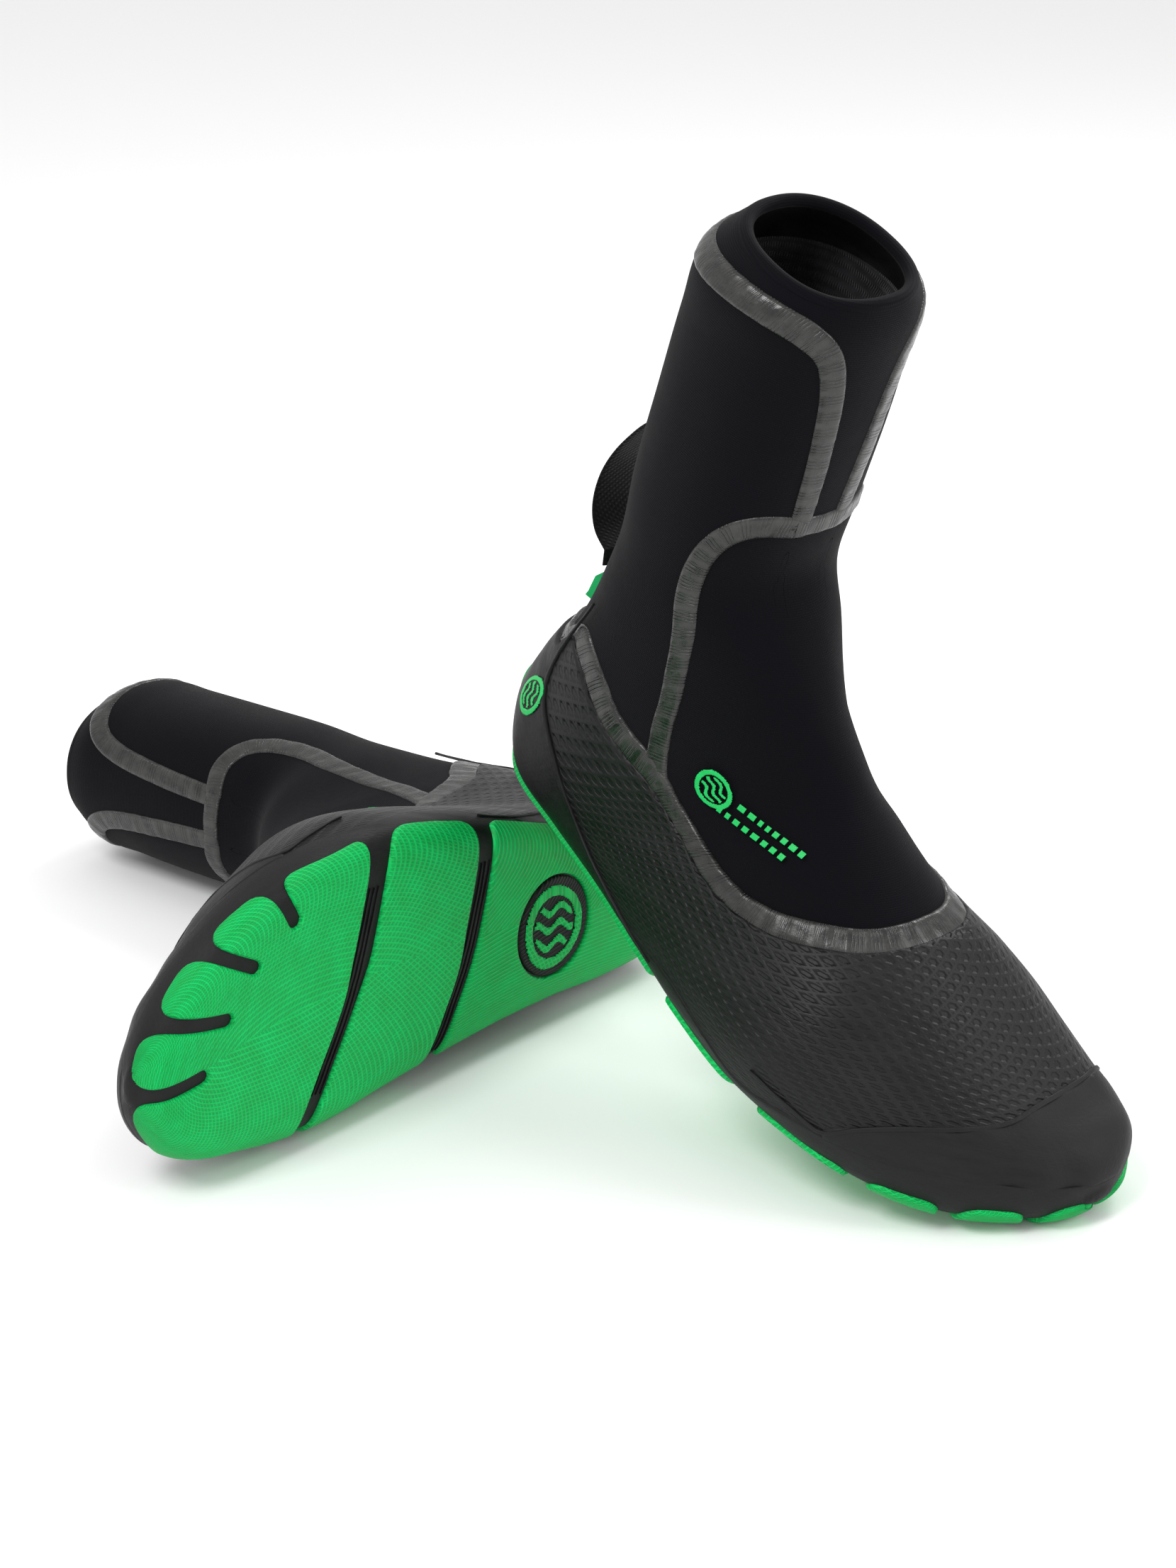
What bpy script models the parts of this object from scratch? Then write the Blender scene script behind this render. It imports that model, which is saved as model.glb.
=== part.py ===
"""A pair of neoprene surf boots, built piece by piece around one shared foot form.

Every layer of a boot is a band of the same form, moved out or in along its normals:
lining, neoprene, seam tape, rubber shell and tread. A right boot is built in its own
frame (X heel to toe, Y towards the other foot, Z up from the sole); the left boot's
pieces are its mirror image. The left boot lies on its side, the right one leans over it.
"""
import math

import bmesh
import bpy
from mathutils import Matrix, Vector

MM = 0.001

# ---------------------------------------------------------------- driving dimensions
# Sections of the foot form from the rim down to the toe, in mm. Each row holds the
# front or top point (x, z), the back or bottom point (x, z), how far from back to
# front the section is widest, its outer and inner half widths, and the roundness of
# its front and back halves (2 is an ellipse, more is squarer).
SECTIONS = [
    (104, 263, 40, 269.5, 0.50, 28.5, 28.5, 2.2, 2.2),
    (105.5, 252, 30, 251, 0.50, 37, 37, 2.2, 2.2),
    (105.5, 235, 28.5, 229, 0.50, 37.5, 37.5, 2.2, 2.2),
    (105, 205, 28, 199, 0.50, 38, 38, 2.2, 2.2),
    (103.5, 175, 28, 161, 0.50, 38, 38, 2.2, 2.2),
    (103.5, 153, 28.5, 128, 0.50, 37, 37, 2.2, 2.2),
    (113.5, 139.5, 21, 92, 0.47, 36.5, 37, 2.2, 2.2),
    (122.5, 126, 8, 60, 0.45, 36, 37, 2.2, 2.3),
    (132.5, 114.5, 2, 34, 0.42, 36, 36, 2.2, 2.4),
    (143, 103.5, 10, 8, 0.40, 36, 36, 2.2, 2.5),
    (152, 94, 36, 0, 0.40, 37, 36, 2.2, 2.4),
    (163, 88, 70, 0, 0.40, 42, 37, 2.2, 2.5),
    (176, 81, 105, 0, 0.38, 47.5, 38, 2.2, 2.8),
    (190, 73, 140, 0, 0.36, 53, 41, 2.2, 3.1),
    (205, 66, 172, 0, 0.35, 56, 45, 2.3, 3.3),
    (220, 58, 200, 0, 0.34, 53, 49, 2.3, 3.4),
    (236, 50, 224, 0, 0.34, 47, 49.5, 2.3, 3.4),
    (251, 43, 245, 1, 0.35, 38, 48, 2.4, 3.2),
    (264, 38, 261, 3, 0.37, 27, 47, 2.4, 2.9),
    (275, 35, 273, 6, 0.40, 14, 43, 2.3, 2.5),
    (283, 29, 282, 10, 0.44, 0, 33, 2.2, 2.1),
    (286.5, 22, 286, 17, 0.50, -12, 24, 2.0, 2.0),
]
TOE = len(SECTIONS) - 1
COLUMNS = 14                      # facets round each section
COLUMN = 360 / COLUMNS
SOLE_PLANE = 5.0                  # height of the form's flat sole
SOLE_BLEND = 4.0                  # how softly the walls run into it
INSTEP_SKEW = 12.0                # the instep's ridge lies on the inner side

# Layers, as distances in mm from the form (negative is inside it).
LINING = (-6.2, -4.9)
NEOPRENE = (-4.6, -1.6)
TAPE = (-1.3, -0.5)
SHELL = (-1.3, 0.2)
GUARD = (-1.3, 0.7)               # toe cap and heel counter
OUTSOLE = (-1.3, 0.6)
TREAD = (1.0, 2.8)
BADGE = (1.0, 1.7)
ACHILLES = (-1.3, 2.2)
SEAM = 0.4                        # gap between neighbours in one layer

# Lines on the form, as (degrees round from the front, section number).
COLLAR_LINE = [(180, 0.95), (140, 0.9), (118, 0.85), (95, 0.8), (70, 0.8), (48, 0.95),
               (31, 1.35), (21, 2.1), (16, 2.9), (13.5, 3.6), (13, 3.95)]
ANKLE_LINE = [(13, 3.95), (33, 3.9), (50, 4.05), (61, 4.45), (66, 5.15), (66, 6.1),
              (66, 7.2), (68, 8.1), (70, 8.8), (71, 9.6)]
COLLAR_TAPE_WIDTHS = (13, 9)      # at the rim's back and at the ankle
ANKLE_TAPE_WIDTH = 10
CROSS_TAPE_WIDTH = 8
CUFF_DEPTH = 21                   # the smooth seal band inside the rim

# Side view of the shell's top edge, heel to instep (x, z).
SHELL_TOP = [(-20, 79), (25, 79), (31, 85), (38, 89), (50, 82), (60, 74), (75, 68),
             (90, 65), (104, 60), (122, 56), (142, 55), (162, 58), (180, 63), (194, 67),
             (204, 72), (212, 84), (330, 110)]
EDGE_TAPE_WIDTH = 8
COUNTER_LINE = [(44, 110), (36, 90), (31, 70), (34, 57), (46, 43), (66, 26), (84, 19),
                (108, 14), (128, 10)]
# Top view of the toe cap's wavy edge, outer side to inner side (x, y).
CAP_LINE = [(188, -70), (196, -60), (210, -54), (226, -46), (240, -33), (250, -20),
            (257, -5), (257, 10), (256, 26), (252, 42), (240, 58), (232, 70)]
# Side view of the outsole's top edge, heel to toe (x, z).
OUTSOLE_TOP = [(-20, 17), (20, 15), (60, 10.5), (95, 11.5), (115, 17), (140, 19.5), (165, 17),
               (185, 14), (205, 17), (235, 21), (262, 25), (300, 26)]
# Top view of the two flex grooves' centre lines, outer side to inner side (x, y).
FRONT_GROOVE = [(182, -75), (188, -40), (197, 0), (212, 33), (229, 70)]
REAR_GROOVE = [(127, -65), (130, -35), (137, 0), (148, 26), (166, 65)]
GROOVE_WIDTH = 7
TOE_SLITS = [((268, 15), (296, 24)), ((258, -3), (290, -4)),
             ((246, -19), (283, -35)), ((228, -32), (252, -72))]
TOE_SLIT_WIDTH = 4.6
TREAD_HEIGHTS = (20, 15.5, 9.5)   # how far up the sides each pad wraps
HEEL_TONGUE = (30, 46)            # width and height of the tread up the heel's back
WINDOW = (91, 0, 20)              # the round window in the heel pad: x, y, radius
BADGE_PLACE = (124, 7.75)         # degrees round, section
BADGE_RADIUS = 10
STRIP_WIDTH = 28                  # the rubber strip up the back of the ankle
STRIP_RANGE = (5.78, 6.08)        # sections

# Pull loop, side view (x, z): a bow between two sewn roots.
TONGUE_PROFILE = (24, 14, 10)     # x of the tongue's foot, shoulder and top
TONGUE_SLOPE = 8                  # rise from the wrap to the shoulder
TONGUE_FRONT = 13                 # the tongue's sides are cut back to this x
TONGUE_START = 4                  # above the wrap, where the tongue stands alone
PAD_SECTIONS = ((12, TOE), (10, 16), (6, 15), (9, 14))  # toe, middle, heel, window

# Cutters reach this far past the boot, in mm.
FAR_BACK, FAR_FRONT, FAR_BELOW, FAR_SIDE = -40, 330, -60, 120
TOP_SOLID_HALF = 0.35             # metres, half the height of a top-view cutter

WEBBING = 1.6
WEBBING_WIDTH = 20
LOOP_BOW = [(24.6, 168.0), (17.5, 163.5), (9, 151), (4.6, 138), (5, 127), (7.5, 118.5),
            (12.5, 112), (20.5, 109.5)]
UPPER_ROOT = ((23.0, 169.0), (28.8, 173.6))
LOWER_ROOT = ((19.2, 103.8), (24.9, 107.8))

# Where each boot's frame stands: place in mm and turn in degrees about X, Y, Z.
RIGHT_PLACE = ((-6.0, 20.9, 98.5), (2.8, 22.0, -48.8))
LEFT_PLACE = ((64.8, 43.6, 32.6), (90.2, -6.0, -130.6))

BLACK_NEOPRENE = ("neoprene", (0.012, 0.011, 0.017), 0.85)
BLACK_RUBBER = ("black_rubber", (0.035, 0.035, 0.036), 0.5)
SEAM_RUBBER = ("seam_rubber", (0.055, 0.055, 0.055), 0.35)
GREEN_RUBBER = ("green_rubber", (0.0, 0.42, 0.11), 0.5)
LINING_KNIT = ("thermal_knit", (0.05, 0.05, 0.05), 0.95)
WEBBING_CLOTH = ("webbing", (0.02, 0.02, 0.02), 0.8)


# ---------------------------------------------------------------- the foot form
def catmull(before, start, end, after, f):
    """One value between start and end on a smooth curve through all four."""
    return 0.5 * (2 * start + (end - before) * f
                  + (2 * before - 5 * start + 4 * end - after) * f ** 2
                  + (3 * start - before - 3 * end + after) * f ** 3)


def power(value, exponent):
    """value to 2/exponent, keeping its sign: the superellipse's rounding."""
    return math.copysign(abs(value) ** (2 / exponent), value)


def sole_clamp(z):
    """Flattens everything below the sole plane onto it, with a soft corner."""
    d = z - SOLE_PLANE
    if d > SOLE_BLEND:
        return z
    if d < -SOLE_BLEND:
        return SOLE_PLANE
    return SOLE_PLANE + (d + SOLE_BLEND) ** 2 / (4 * SOLE_BLEND)


def form_point(row, degrees):
    """A point on section row of the form; 0 is the front and 90 the outer side."""
    xf, zf, xb, zb, widest, outer, inner, front_round, back_round = SECTIONS[row]
    angle = math.radians(degrees)
    c, s = math.cos(angle), math.sin(angle)
    roundness = front_round if c >= 0 else back_round
    c, s = power(c, roundness), power(s, roundness)
    cx, cz = xb + (xf - xb) * widest, zb + (zf - zb) * widest
    if c >= 0:
        x, z = cx + (xf - cx) * c, cz + (zf - cz) * c
    else:
        x, z = cx + (cx - xb) * c, cz + (cz - zb) * c
    y = (inner - outer) / 2 - s * (inner + outer) / 2
    skew = min(max((row - 8) / 6, 0), 1) * min(max((TOE + 0.5 - row) / 4, 0), 1)
    y += INSTEP_SKEW * skew * max(c, 0) ** 1.5
    return Vector((x, y, sole_clamp(z)))


def form_grid():
    """The form's corner points and outward normals, by row and column."""
    points = [[form_point(row, COLUMN * k) for k in range(COLUMNS)] for row in range(TOE + 1)]
    normals = []
    for row in range(TOE + 1):
        above, below = points[max(row - 1, 0)], points[min(row + 1, TOE)]
        around = points[row]
        line = []
        for k in range(COLUMNS):
            across = around[(k + 1) % COLUMNS] - around[k - 1]
            line.append(across.cross(below[k] - above[k]).normalized())
        normals.append(line)
    return points, normals


POINTS, NORMALS = form_grid()


def on_form(degrees, section, distance=0.0):
    """A point at a distance from the form's triangular facets."""
    column = degrees / COLUMN
    k = math.floor(column)
    row = min(max(int(section), 0), TOE - 1)
    u, v = column - k, section - row
    if u >= v:
        shares = ((row, k, 1 - u), (row, k + 1, u - v), (row + 1, k + 1, v))
    else:
        shares = ((row, k, 1 - v), (row + 1, k, v - u), (row + 1, k + 1, u))
    place = Vector()
    for r, c, share in shares:
        place += (POINTS[r][c % COLUMNS] + NORMALS[r][c % COLUMNS] * distance) * share
    return place


# ---------------------------------------------------------------- mesh helpers
def new_object(name, mesh):
    obj = bpy.data.objects.new(name, mesh)
    bpy.context.scene.collection.objects.link(obj)
    return obj


def smooth_line(points, steps=4):
    """A Catmull-Rom curve through 2D points, as a list of points."""
    ends = [points[0]] + list(points) + [points[-1]]
    line = []
    for i in range(len(points) - 1):
        for step in range(steps):
            line.append(tuple(catmull(ends[i][a], ends[i + 1][a], ends[i + 2][a],
                                      ends[i + 3][a], step / steps) for a in (0, 1)))
    return line + [tuple(points[-1])]


def side_step(points, distance, scale=lambda point: (1.0, 1.0)):
    """Moves a 2D line to its left by distance mm; scale gives mm per unit each way."""
    moved = []
    for i, point in enumerate(points):
        before, after = points[max(i - 1, 0)], points[min(i + 1, len(points) - 1)]
        sx, sy = scale(point)
        dx, dy = (after[0] - before[0]) * sx, (after[1] - before[1]) * sy
        length = math.hypot(dx, dy)
        reach = distance(i / (len(points) - 1)) if callable(distance) else distance
        moved.append((point[0] - dy / length * reach / sx, point[1] + dx / length * reach / sy))
    return moved


def form_scale(point):
    """Millimetres per degree and per section at a point of the form."""
    degrees, section = point
    around = on_form(degrees + 3, section) - on_form(degrees - 3, section)
    low, high = max(section - 0.3, 0), min(section + 0.3, TOE)
    along = on_form(degrees, high) - on_form(degrees, low)
    return around.length / 6, along.length / (high - low)


def band(line, width, scale=lambda point: (1.0, 1.0)):
    """The closed outline of a strip of a given width along a line."""
    half = (lambda f: width(f) / 2) if callable(width) else width / 2
    back = (lambda f: -width(f) / 2) if callable(width) else -width / 2
    return side_step(line, half, scale) + side_step(line, back, scale)[::-1]


def outline_solid(name, outline, half_depth):
    """A closed prism of a 2D outline, from its local -Z to +Z half depth."""
    curve = bpy.data.curves.new(name, "CURVE")
    curve.dimensions = "2D"
    curve.fill_mode = "BOTH"
    curve.extrude = half_depth
    spline = curve.splines.new("POLY")
    spline.points.add(len(outline) - 1)
    for corner, (x, y) in zip(spline.points, outline):
        corner.co = (x, y, 0, 1)
    spline.use_cyclic_u = True
    source = new_object(name + "_outline", curve)
    evaluated = source.evaluated_get(bpy.context.evaluated_depsgraph_get())
    solid = new_object(name, bpy.data.meshes.new_from_object(evaluated))
    bpy.data.objects.remove(source)
    tidy(solid, 1e-7)
    return solid


def tidy(obj, distance):
    """Welds loose corners and turns all faces outwards."""
    mesh = bmesh.new()
    mesh.from_mesh(obj.data)
    bmesh.ops.remove_doubles(mesh, verts=mesh.verts, dist=distance)
    bmesh.ops.dissolve_degenerate(mesh, edges=mesh.edges, dist=distance)
    bmesh.ops.recalc_face_normals(mesh, faces=mesh.faces)
    mesh.to_mesh(obj.data)
    mesh.free()


def split_faces(obj):
    """Splits a finished piece's faces into triangles, so that its mirror image matches."""
    mesh = bmesh.new()
    mesh.from_mesh(obj.data)
    bmesh.ops.triangulate(mesh, faces=mesh.faces)
    mesh.to_mesh(obj.data)
    mesh.free()


def side_view_solid(name, outline, depth=220):
    """A prism of an (x, z) outline in mm that runs across the boot."""
    solid = outline_solid(name, [(x * MM, z * MM) for x, z in outline], depth * MM / 2)
    solid.data.transform(Matrix.Rotation(math.radians(90), 4, "X"))
    return solid


def top_view_solid(name, outline, depth=700):
    """A prism of an (x, y) outline in mm that runs up through the boot."""
    return outline_solid(name, [(x * MM, y * MM) for x, y in outline], depth * MM / 2)


def apply_modifiers(obj):
    evaluated = obj.evaluated_get(bpy.context.evaluated_depsgraph_get())
    mesh = bpy.data.meshes.new_from_object(evaluated)
    obj.modifiers.clear()
    obj.data = mesh


def cut(obj, cutter, operation):
    """Cuts obj with cutter and removes the cutter."""
    modifier = obj.modifiers.new("cut", "BOOLEAN")
    modifier.operation = operation
    modifier.solver = "EXACT"
    modifier.object = cutter
    apply_modifiers(obj)
    bpy.data.objects.remove(cutter)


def thicken(obj, thickness):
    modifier = obj.modifiers.new("thickness", "SOLIDIFY")
    modifier.thickness = thickness * MM
    modifier.offset = 1.0
    apply_modifiers(obj)


def layer_places(distance, first, last):
    """The form's corner points at a distance, ring by ring, with the toe's middle."""
    places = []
    for row in range(first, last + 1):
        places += [on_form(COLUMN * k, row, distance) * MM for k in range(COLUMNS)]
    if last >= TOE - 1:
        middle = sum(places[-COLUMNS:], Vector()) / COLUMNS
        places.append(middle + Vector((distance * MM / 2, 0, 0)))
    return places


def round_shell(name, layer, first, last):
    """A layer all the way round the form, from one section to another."""
    mesh = bmesh.new()
    inner = layer_places(layer[0], first, last)
    corners = [mesh.verts.new(place) for place in inner]
    rings = [corners[start:start + COLUMNS] for start in range(0, len(corners) - 1, COLUMNS)]
    for upper, lower in zip(rings, rings[1:]):
        for k in range(COLUMNS):
            after = (k + 1) % COLUMNS
            mesh.faces.new((upper[k], upper[after], lower[after]))
            mesh.faces.new((upper[k], lower[after], lower[k]))
    if last >= TOE - 1:
        for k in range(COLUMNS):
            mesh.faces.new((rings[-1][k], rings[-1][(k + 1) % COLUMNS], corners[-1]))
    data = bpy.data.meshes.new(name)
    mesh.to_mesh(data)
    mesh.free()
    obj = new_object(name, data)
    thicken(obj, layer[1] - layer[0])
    # Solidify leaves the outer corners first; both sets go exactly onto their layers.
    places = layer_places(layer[1], first, last) + inner
    for corner, place in zip(obj.data.vertices, places):
        corner.co = place
    return obj


def split_diagonally(grid):
    """Splits a flat grid's squares along the same diagonal as the form's facets."""
    mesh = bmesh.new()
    mesh.from_mesh(grid.data)
    for face in list(mesh.faces):
        low = min(face.verts, key=lambda corner: corner.co.x + corner.co.y)
        high = max(face.verts, key=lambda corner: corner.co.x + corner.co.y)
        bmesh.utils.face_split(face, low, high)
    mesh.to_mesh(grid.data)
    mesh.free()


def form_panel(name, outline, layer):
    """A panel cut flat to an outline in degrees and sections, then bent onto the form.

    Flat, 1 mm stands for a degree along X and 10 mm for a section along Y.
    """
    across, along = MM, 10 * MM
    columns = [math.floor(min(p[0] for p in outline) / COLUMN),
               math.ceil(max(p[0] for p in outline) / COLUMN)]
    rows = [math.floor(min(p[1] for p in outline)), math.ceil(max(p[1] for p in outline))]
    bpy.ops.mesh.primitive_grid_add(x_subdivisions=columns[1] - columns[0],
                                    y_subdivisions=rows[1] - rows[0], size=1)
    panel = bpy.context.object
    panel.name = name
    size = ((columns[1] - columns[0]) * COLUMN * across, (rows[1] - rows[0]) * along, 1)
    size = Matrix.Diagonal(size)
    centre = Vector((sum(columns) / 2 * COLUMN * across, sum(rows) / 2 * along, 0))
    for corner in panel.data.vertices:
        corner.co = size @ corner.co + centre
    split_diagonally(panel)
    thicken(panel, layer[1] - layer[0])
    cutter = outline_solid(name + "_cutter", [(x * across, y * along) for x, y in outline], 20 * MM)
    cut(panel, cutter, "INTERSECT")
    for corner in panel.data.vertices:
        flat = corner.co
        corner.co = on_form(flat.x / across, flat.y / along, layer[0] + flat.z / MM) * MM
    return panel


def below_line(line, low=-60):
    """A side view outline of everything below a line."""
    return list(line) + [(line[-1][0], low), (line[0][0], low)]


def above_line(line, high=120):
    """A side view outline of everything above a line."""
    return list(line) + [(line[-1][0], high), (line[0][0], high)]


# ---------------------------------------------------------------- the seam lines
CROSS = [(-19.5, 3.95), (-7, 3.95), (7, 3.95), (19.5, 3.95)]
BACK = 179.7                      # the back seam's edge, in degrees
BOTTOM_ROW = 9.6                  # where the shaft's panels pass under the edge tape
TOE_ROW = 14.6


def mirrored(line):
    """The same line on the boot's inner side."""
    return [(-x, y) for x, y in line]


def beside(line, distance):
    """A seam line moved sideways over the form by distance mm."""
    return side_step(line, distance, form_scale)


def collar_outline():
    """The band under the rim with the narrow strip that runs down the front."""
    outer = beside(COLLAR_LINE, SEAM / 2)
    outer[0] = (BACK, outer[0][1])
    outer[-1] = (outer[-1][0], CROSS[0][1])
    return [(-BACK, 0), (BACK, 0)] + outer + mirrored(outer)[::-1]


def side_outline():
    """The outer side panel: back seam, collar line, ankle line, shell edge."""
    top = beside(COLLAR_LINE, -SEAM / 2)
    top[0] = (BACK, top[0][1])
    front = beside(ANKLE_LINE, -SEAM / 2)[1:]
    return top[:-1] + front + [(BACK, BOTTOM_ROW)]


def instep_outline():
    """The tongue panel between both ankle lines, down to the shell edge."""
    outer = beside(ANKLE_LINE, SEAM / 2)[1:]
    corner = (outer[-1][0], TOE_ROW)
    top = ANKLE_LINE[0][1] + 0.01
    right_side = [(11, top)] + outer + [corner]
    return right_side + mirrored(right_side)[::-1]


def lengthways(line, start, end):
    """The part of a line between two fractions of its points."""
    count = len(line) - 1
    return line[round(start * count):round(end * count) + 1]


# ---------------------------------------------------------------- the soft upper
def below_edge(name, rise):
    """A cutter of everything below the shell's top edge moved up by rise mm."""
    return side_view_solid(name, below_line(side_step(SHELL_TOP, rise)))


def above_edge(name, rise):
    """A cutter of everything above the shell's top edge moved up by rise mm."""
    return side_view_solid(name, above_line(side_step(SHELL_TOP, rise), 300))


def lining_parts():
    knit = round_shell("lining", LINING, 0, TOE - 1)
    reach = SECTIONS[0][3] - CUFF_DEPTH
    upper = [(-40, reach + SEAM), (180, reach + SEAM), (180, 300), (-40, 300)]
    lower = [(-40, reach), (180, reach), (180, 300), (-40, 300)]
    cut(knit, side_view_solid("knit_top", lower), "DIFFERENCE")
    seal = round_shell("cuff_seal", LINING, 0, 4)
    cut(seal, side_view_solid("seal_end", upper), "INTERSECT")
    return [(knit, LINING_KNIT), (seal, BLACK_RUBBER)]


def panel_parts():
    middle = EDGE_TAPE_WIDTH / 2
    sock = round_shell("foot_sock", NEOPRENE, 5, TOE - 1)
    cut(sock, below_edge("sock_top", middle - SEAM / 2), "INTERSECT")
    collar = form_panel("collar_panel", collar_outline(), NEOPRENE)
    panels = [(sock, BLACK_NEOPRENE), (collar, BLACK_NEOPRENE)]
    for name, outline in (("side_panel_outer", side_outline()),
                          ("side_panel_inner", mirrored(side_outline())[::-1]),
                          ("instep_panel", instep_outline())):
        panel = form_panel(name, outline, NEOPRENE)
        cut(panel, above_edge(name + "_end", middle + SEAM / 2), "INTERSECT")
        panels.append((panel, BLACK_NEOPRENE))
    return panels


def tape_width(f):
    return COLLAR_TAPE_WIDTHS[0] + (COLLAR_TAPE_WIDTHS[1] - COLLAR_TAPE_WIDTHS[0]) * f


def tape_parts():
    cross = form_panel("cross_tape", band(CROSS, CROSS_TAPE_WIDTH, form_scale), TAPE)
    parts = [(cross, SEAM_RUBBER)]
    junction = COLLAR_LINE[-1]
    end = junction[1] - (CROSS_TAPE_WIDTH / 2 + SEAM) / form_scale(junction)[1]
    collar = [(min(x, BACK), min(y, end)) for x, y in band(COLLAR_LINE, tape_width, form_scale)]
    ankle = band(lengthways(ANKLE_LINE, 0.1, 1), ANKLE_TAPE_WIDTH, form_scale)
    for side, turn in (("outer", list), ("inner", lambda line: mirrored(line)[::-1])):
        strip = form_panel("collar_tape_" + side, turn(collar), TAPE)
        parts.append((strip, SEAM_RUBBER))
        strip = form_panel("ankle_tape_" + side, turn(ankle), TAPE)
        cut(strip, above_edge("tape_end", EDGE_TAPE_WIDTH + SEAM), "INTERSECT")
        parts.append((strip, SEAM_RUBBER))
    edge = round_shell("edge_tape", SHELL, 4, 15)
    cut(edge, below_edge("edge_upper", EDGE_TAPE_WIDTH), "INTERSECT")
    cut(edge, above_edge("edge_lower", SEAM), "INTERSECT")
    parts.append((edge, SEAM_RUBBER))
    return parts


# ---------------------------------------------------------------- the rubber shell
def cap_area(name, gap):
    """A cutter of everything in front of the toe cap's edge line."""
    line = side_step(CAP_LINE, -gap)
    return top_view_solid(name, line + [(320, line[-1][1]), (320, line[0][1])])


def counter_area(name, gap):
    """A cutter of everything behind the heel counter's edge line."""
    line = side_step(COUNTER_LINE, -gap)
    return side_view_solid(name, line + [(line[-1][0], -60), (-40, -60), (-40, line[0][1])])


def above_outsole(name):
    line = side_step(OUTSOLE_TOP, SEAM)
    return side_view_solid(name, above_line(line, 200))


def shell_parts():
    half = SEAM / 2
    parts = []
    for name, layer, first in (("vamp", SHELL, 4), ("toe_cap", GUARD, 13),
                               ("heel_counter", GUARD, 4)):
        piece = round_shell(name, layer, first, TOE)
        cut(piece, above_outsole(name + "_foot"), "INTERSECT")
        cut(piece, below_edge(name + "_top", 0), "INTERSECT")
        if name == "vamp":
            cut(piece, cap_area("cap_edge", -half), "DIFFERENCE")
            cut(piece, counter_area("counter_edge", -half), "DIFFERENCE")
        elif name == "toe_cap":
            cut(piece, cap_area("cap_edge", half), "INTERSECT")
        else:
            cut(piece, counter_area("counter_edge", half), "INTERSECT")
        parts.append((piece, BLACK_RUBBER))
    outsole = round_shell("outsole", OUTSOLE, 7, TOE)
    cut(outsole, side_view_solid("outsole_top", below_line(OUTSOLE_TOP)), "INTERSECT")
    parts.append((outsole, BLACK_RUBBER))
    return parts


# ---------------------------------------------------------------- the tread
def groove_sides(line):
    """The front and back edges of a flex groove."""
    return side_step(line, -GROOVE_WIDTH / 2), side_step(line, GROOVE_WIDTH / 2)


def slit_solid(name, start, end):
    """The gap between two toes of the tread, round at its inner end."""
    (x0, y0), (x1, y1) = start, end
    heading = math.atan2(y1 - y0, x1 - x0)
    half = TOE_SLIT_WIDTH / 2
    outline = []
    for step in range(7):
        angle = heading + math.radians(90 + 30 * step)
        outline.append((x0 + half * math.cos(angle), y0 + half * math.sin(angle)))
    for side in (-90, 90):
        angle = heading + math.radians(side)
        outline.append((x1 + half * math.cos(angle), y1 + half * math.sin(angle)))
    return top_view_solid(name, outline)


def low_area(height):
    """Side view: everything on the boot below a height."""
    return [(FAR_BACK, FAR_BELOW), (FAR_FRONT, FAR_BELOW), (FAR_FRONT, height),
            (FAR_BACK, height)]


def forefoot_pad():
    """The pad in front of the first groove, split into toes by slits."""
    edge, _ = groove_sides(FRONT_GROOVE)
    pad = round_shell("forefoot_pad", TREAD, *PAD_SECTIONS[0])
    area = edge + [(FAR_FRONT, edge[-1][1]), (FAR_FRONT, edge[0][1])]
    cut(pad, top_view_solid("toe_area", area), "INTERSECT")
    cut(pad, side_view_solid("toe_height", low_area(TREAD_HEIGHTS[0])), "INTERSECT")
    for start, end in TOE_SLITS:
        cut(pad, slit_solid("slit", start, end), "DIFFERENCE")
    return pad


def midfoot_pad():
    """The pad between the two grooves."""
    _, front = groove_sides(FRONT_GROOVE)
    back, _ = groove_sides(REAR_GROOVE)
    pad = round_shell("midfoot_pad", TREAD, *PAD_SECTIONS[1])
    cut(pad, top_view_solid("middle_area", front + back[::-1]), "INTERSECT")
    cut(pad, side_view_solid("middle_height", low_area(TREAD_HEIGHTS[1])), "INTERSECT")
    return pad


def heel_pad_area():
    """Side view: a low wrap along the sole and a tongue up the heel's back."""
    wrap, (_, tongue) = TREAD_HEIGHTS[2], HEEL_TONGUE
    foot, shoulder, top = TONGUE_PROFILE
    return [(FAR_BACK, FAR_BELOW), (260, FAR_BELOW), (260, wrap), (foot, wrap),
            (shoulder, wrap + TONGUE_SLOPE), (top, tongue), (FAR_BACK, tongue)]


def trim_beside_tongue(pad):
    """Cuts the heel pad away on both sides of the tongue."""
    half = HEEL_TONGUE[0] / 2
    for y0, y1 in ((-FAR_SIDE, -half), (half, FAR_SIDE)):
        outline = [(FAR_BACK, y0), (TONGUE_FRONT, y0), (TONGUE_FRONT, y1), (FAR_BACK, y1)]
        side = top_view_solid("tongue_side", outline)
        side.location.z = TOP_SOLID_HALF + (TREAD_HEIGHTS[2] + TONGUE_START) * MM
        bpy.context.view_layer.update()
        cut(pad, side, "DIFFERENCE")


def heel_pad():
    """The pad behind the rear groove, with the round window and the tongue."""
    _, edge = groove_sides(REAR_GROOVE)
    pad = round_shell("heel_pad", TREAD, *PAD_SECTIONS[2])
    area = edge + [(FAR_BACK, edge[-1][1]), (FAR_BACK, edge[0][1])]
    cut(pad, top_view_solid("heel_area", area), "INTERSECT")
    cut(pad, side_view_solid("heel_height", heel_pad_area()), "INTERSECT")
    trim_beside_tongue(pad)
    cut(pad, window_disc("window_hole", WINDOW[2]), "DIFFERENCE")
    return pad


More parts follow.
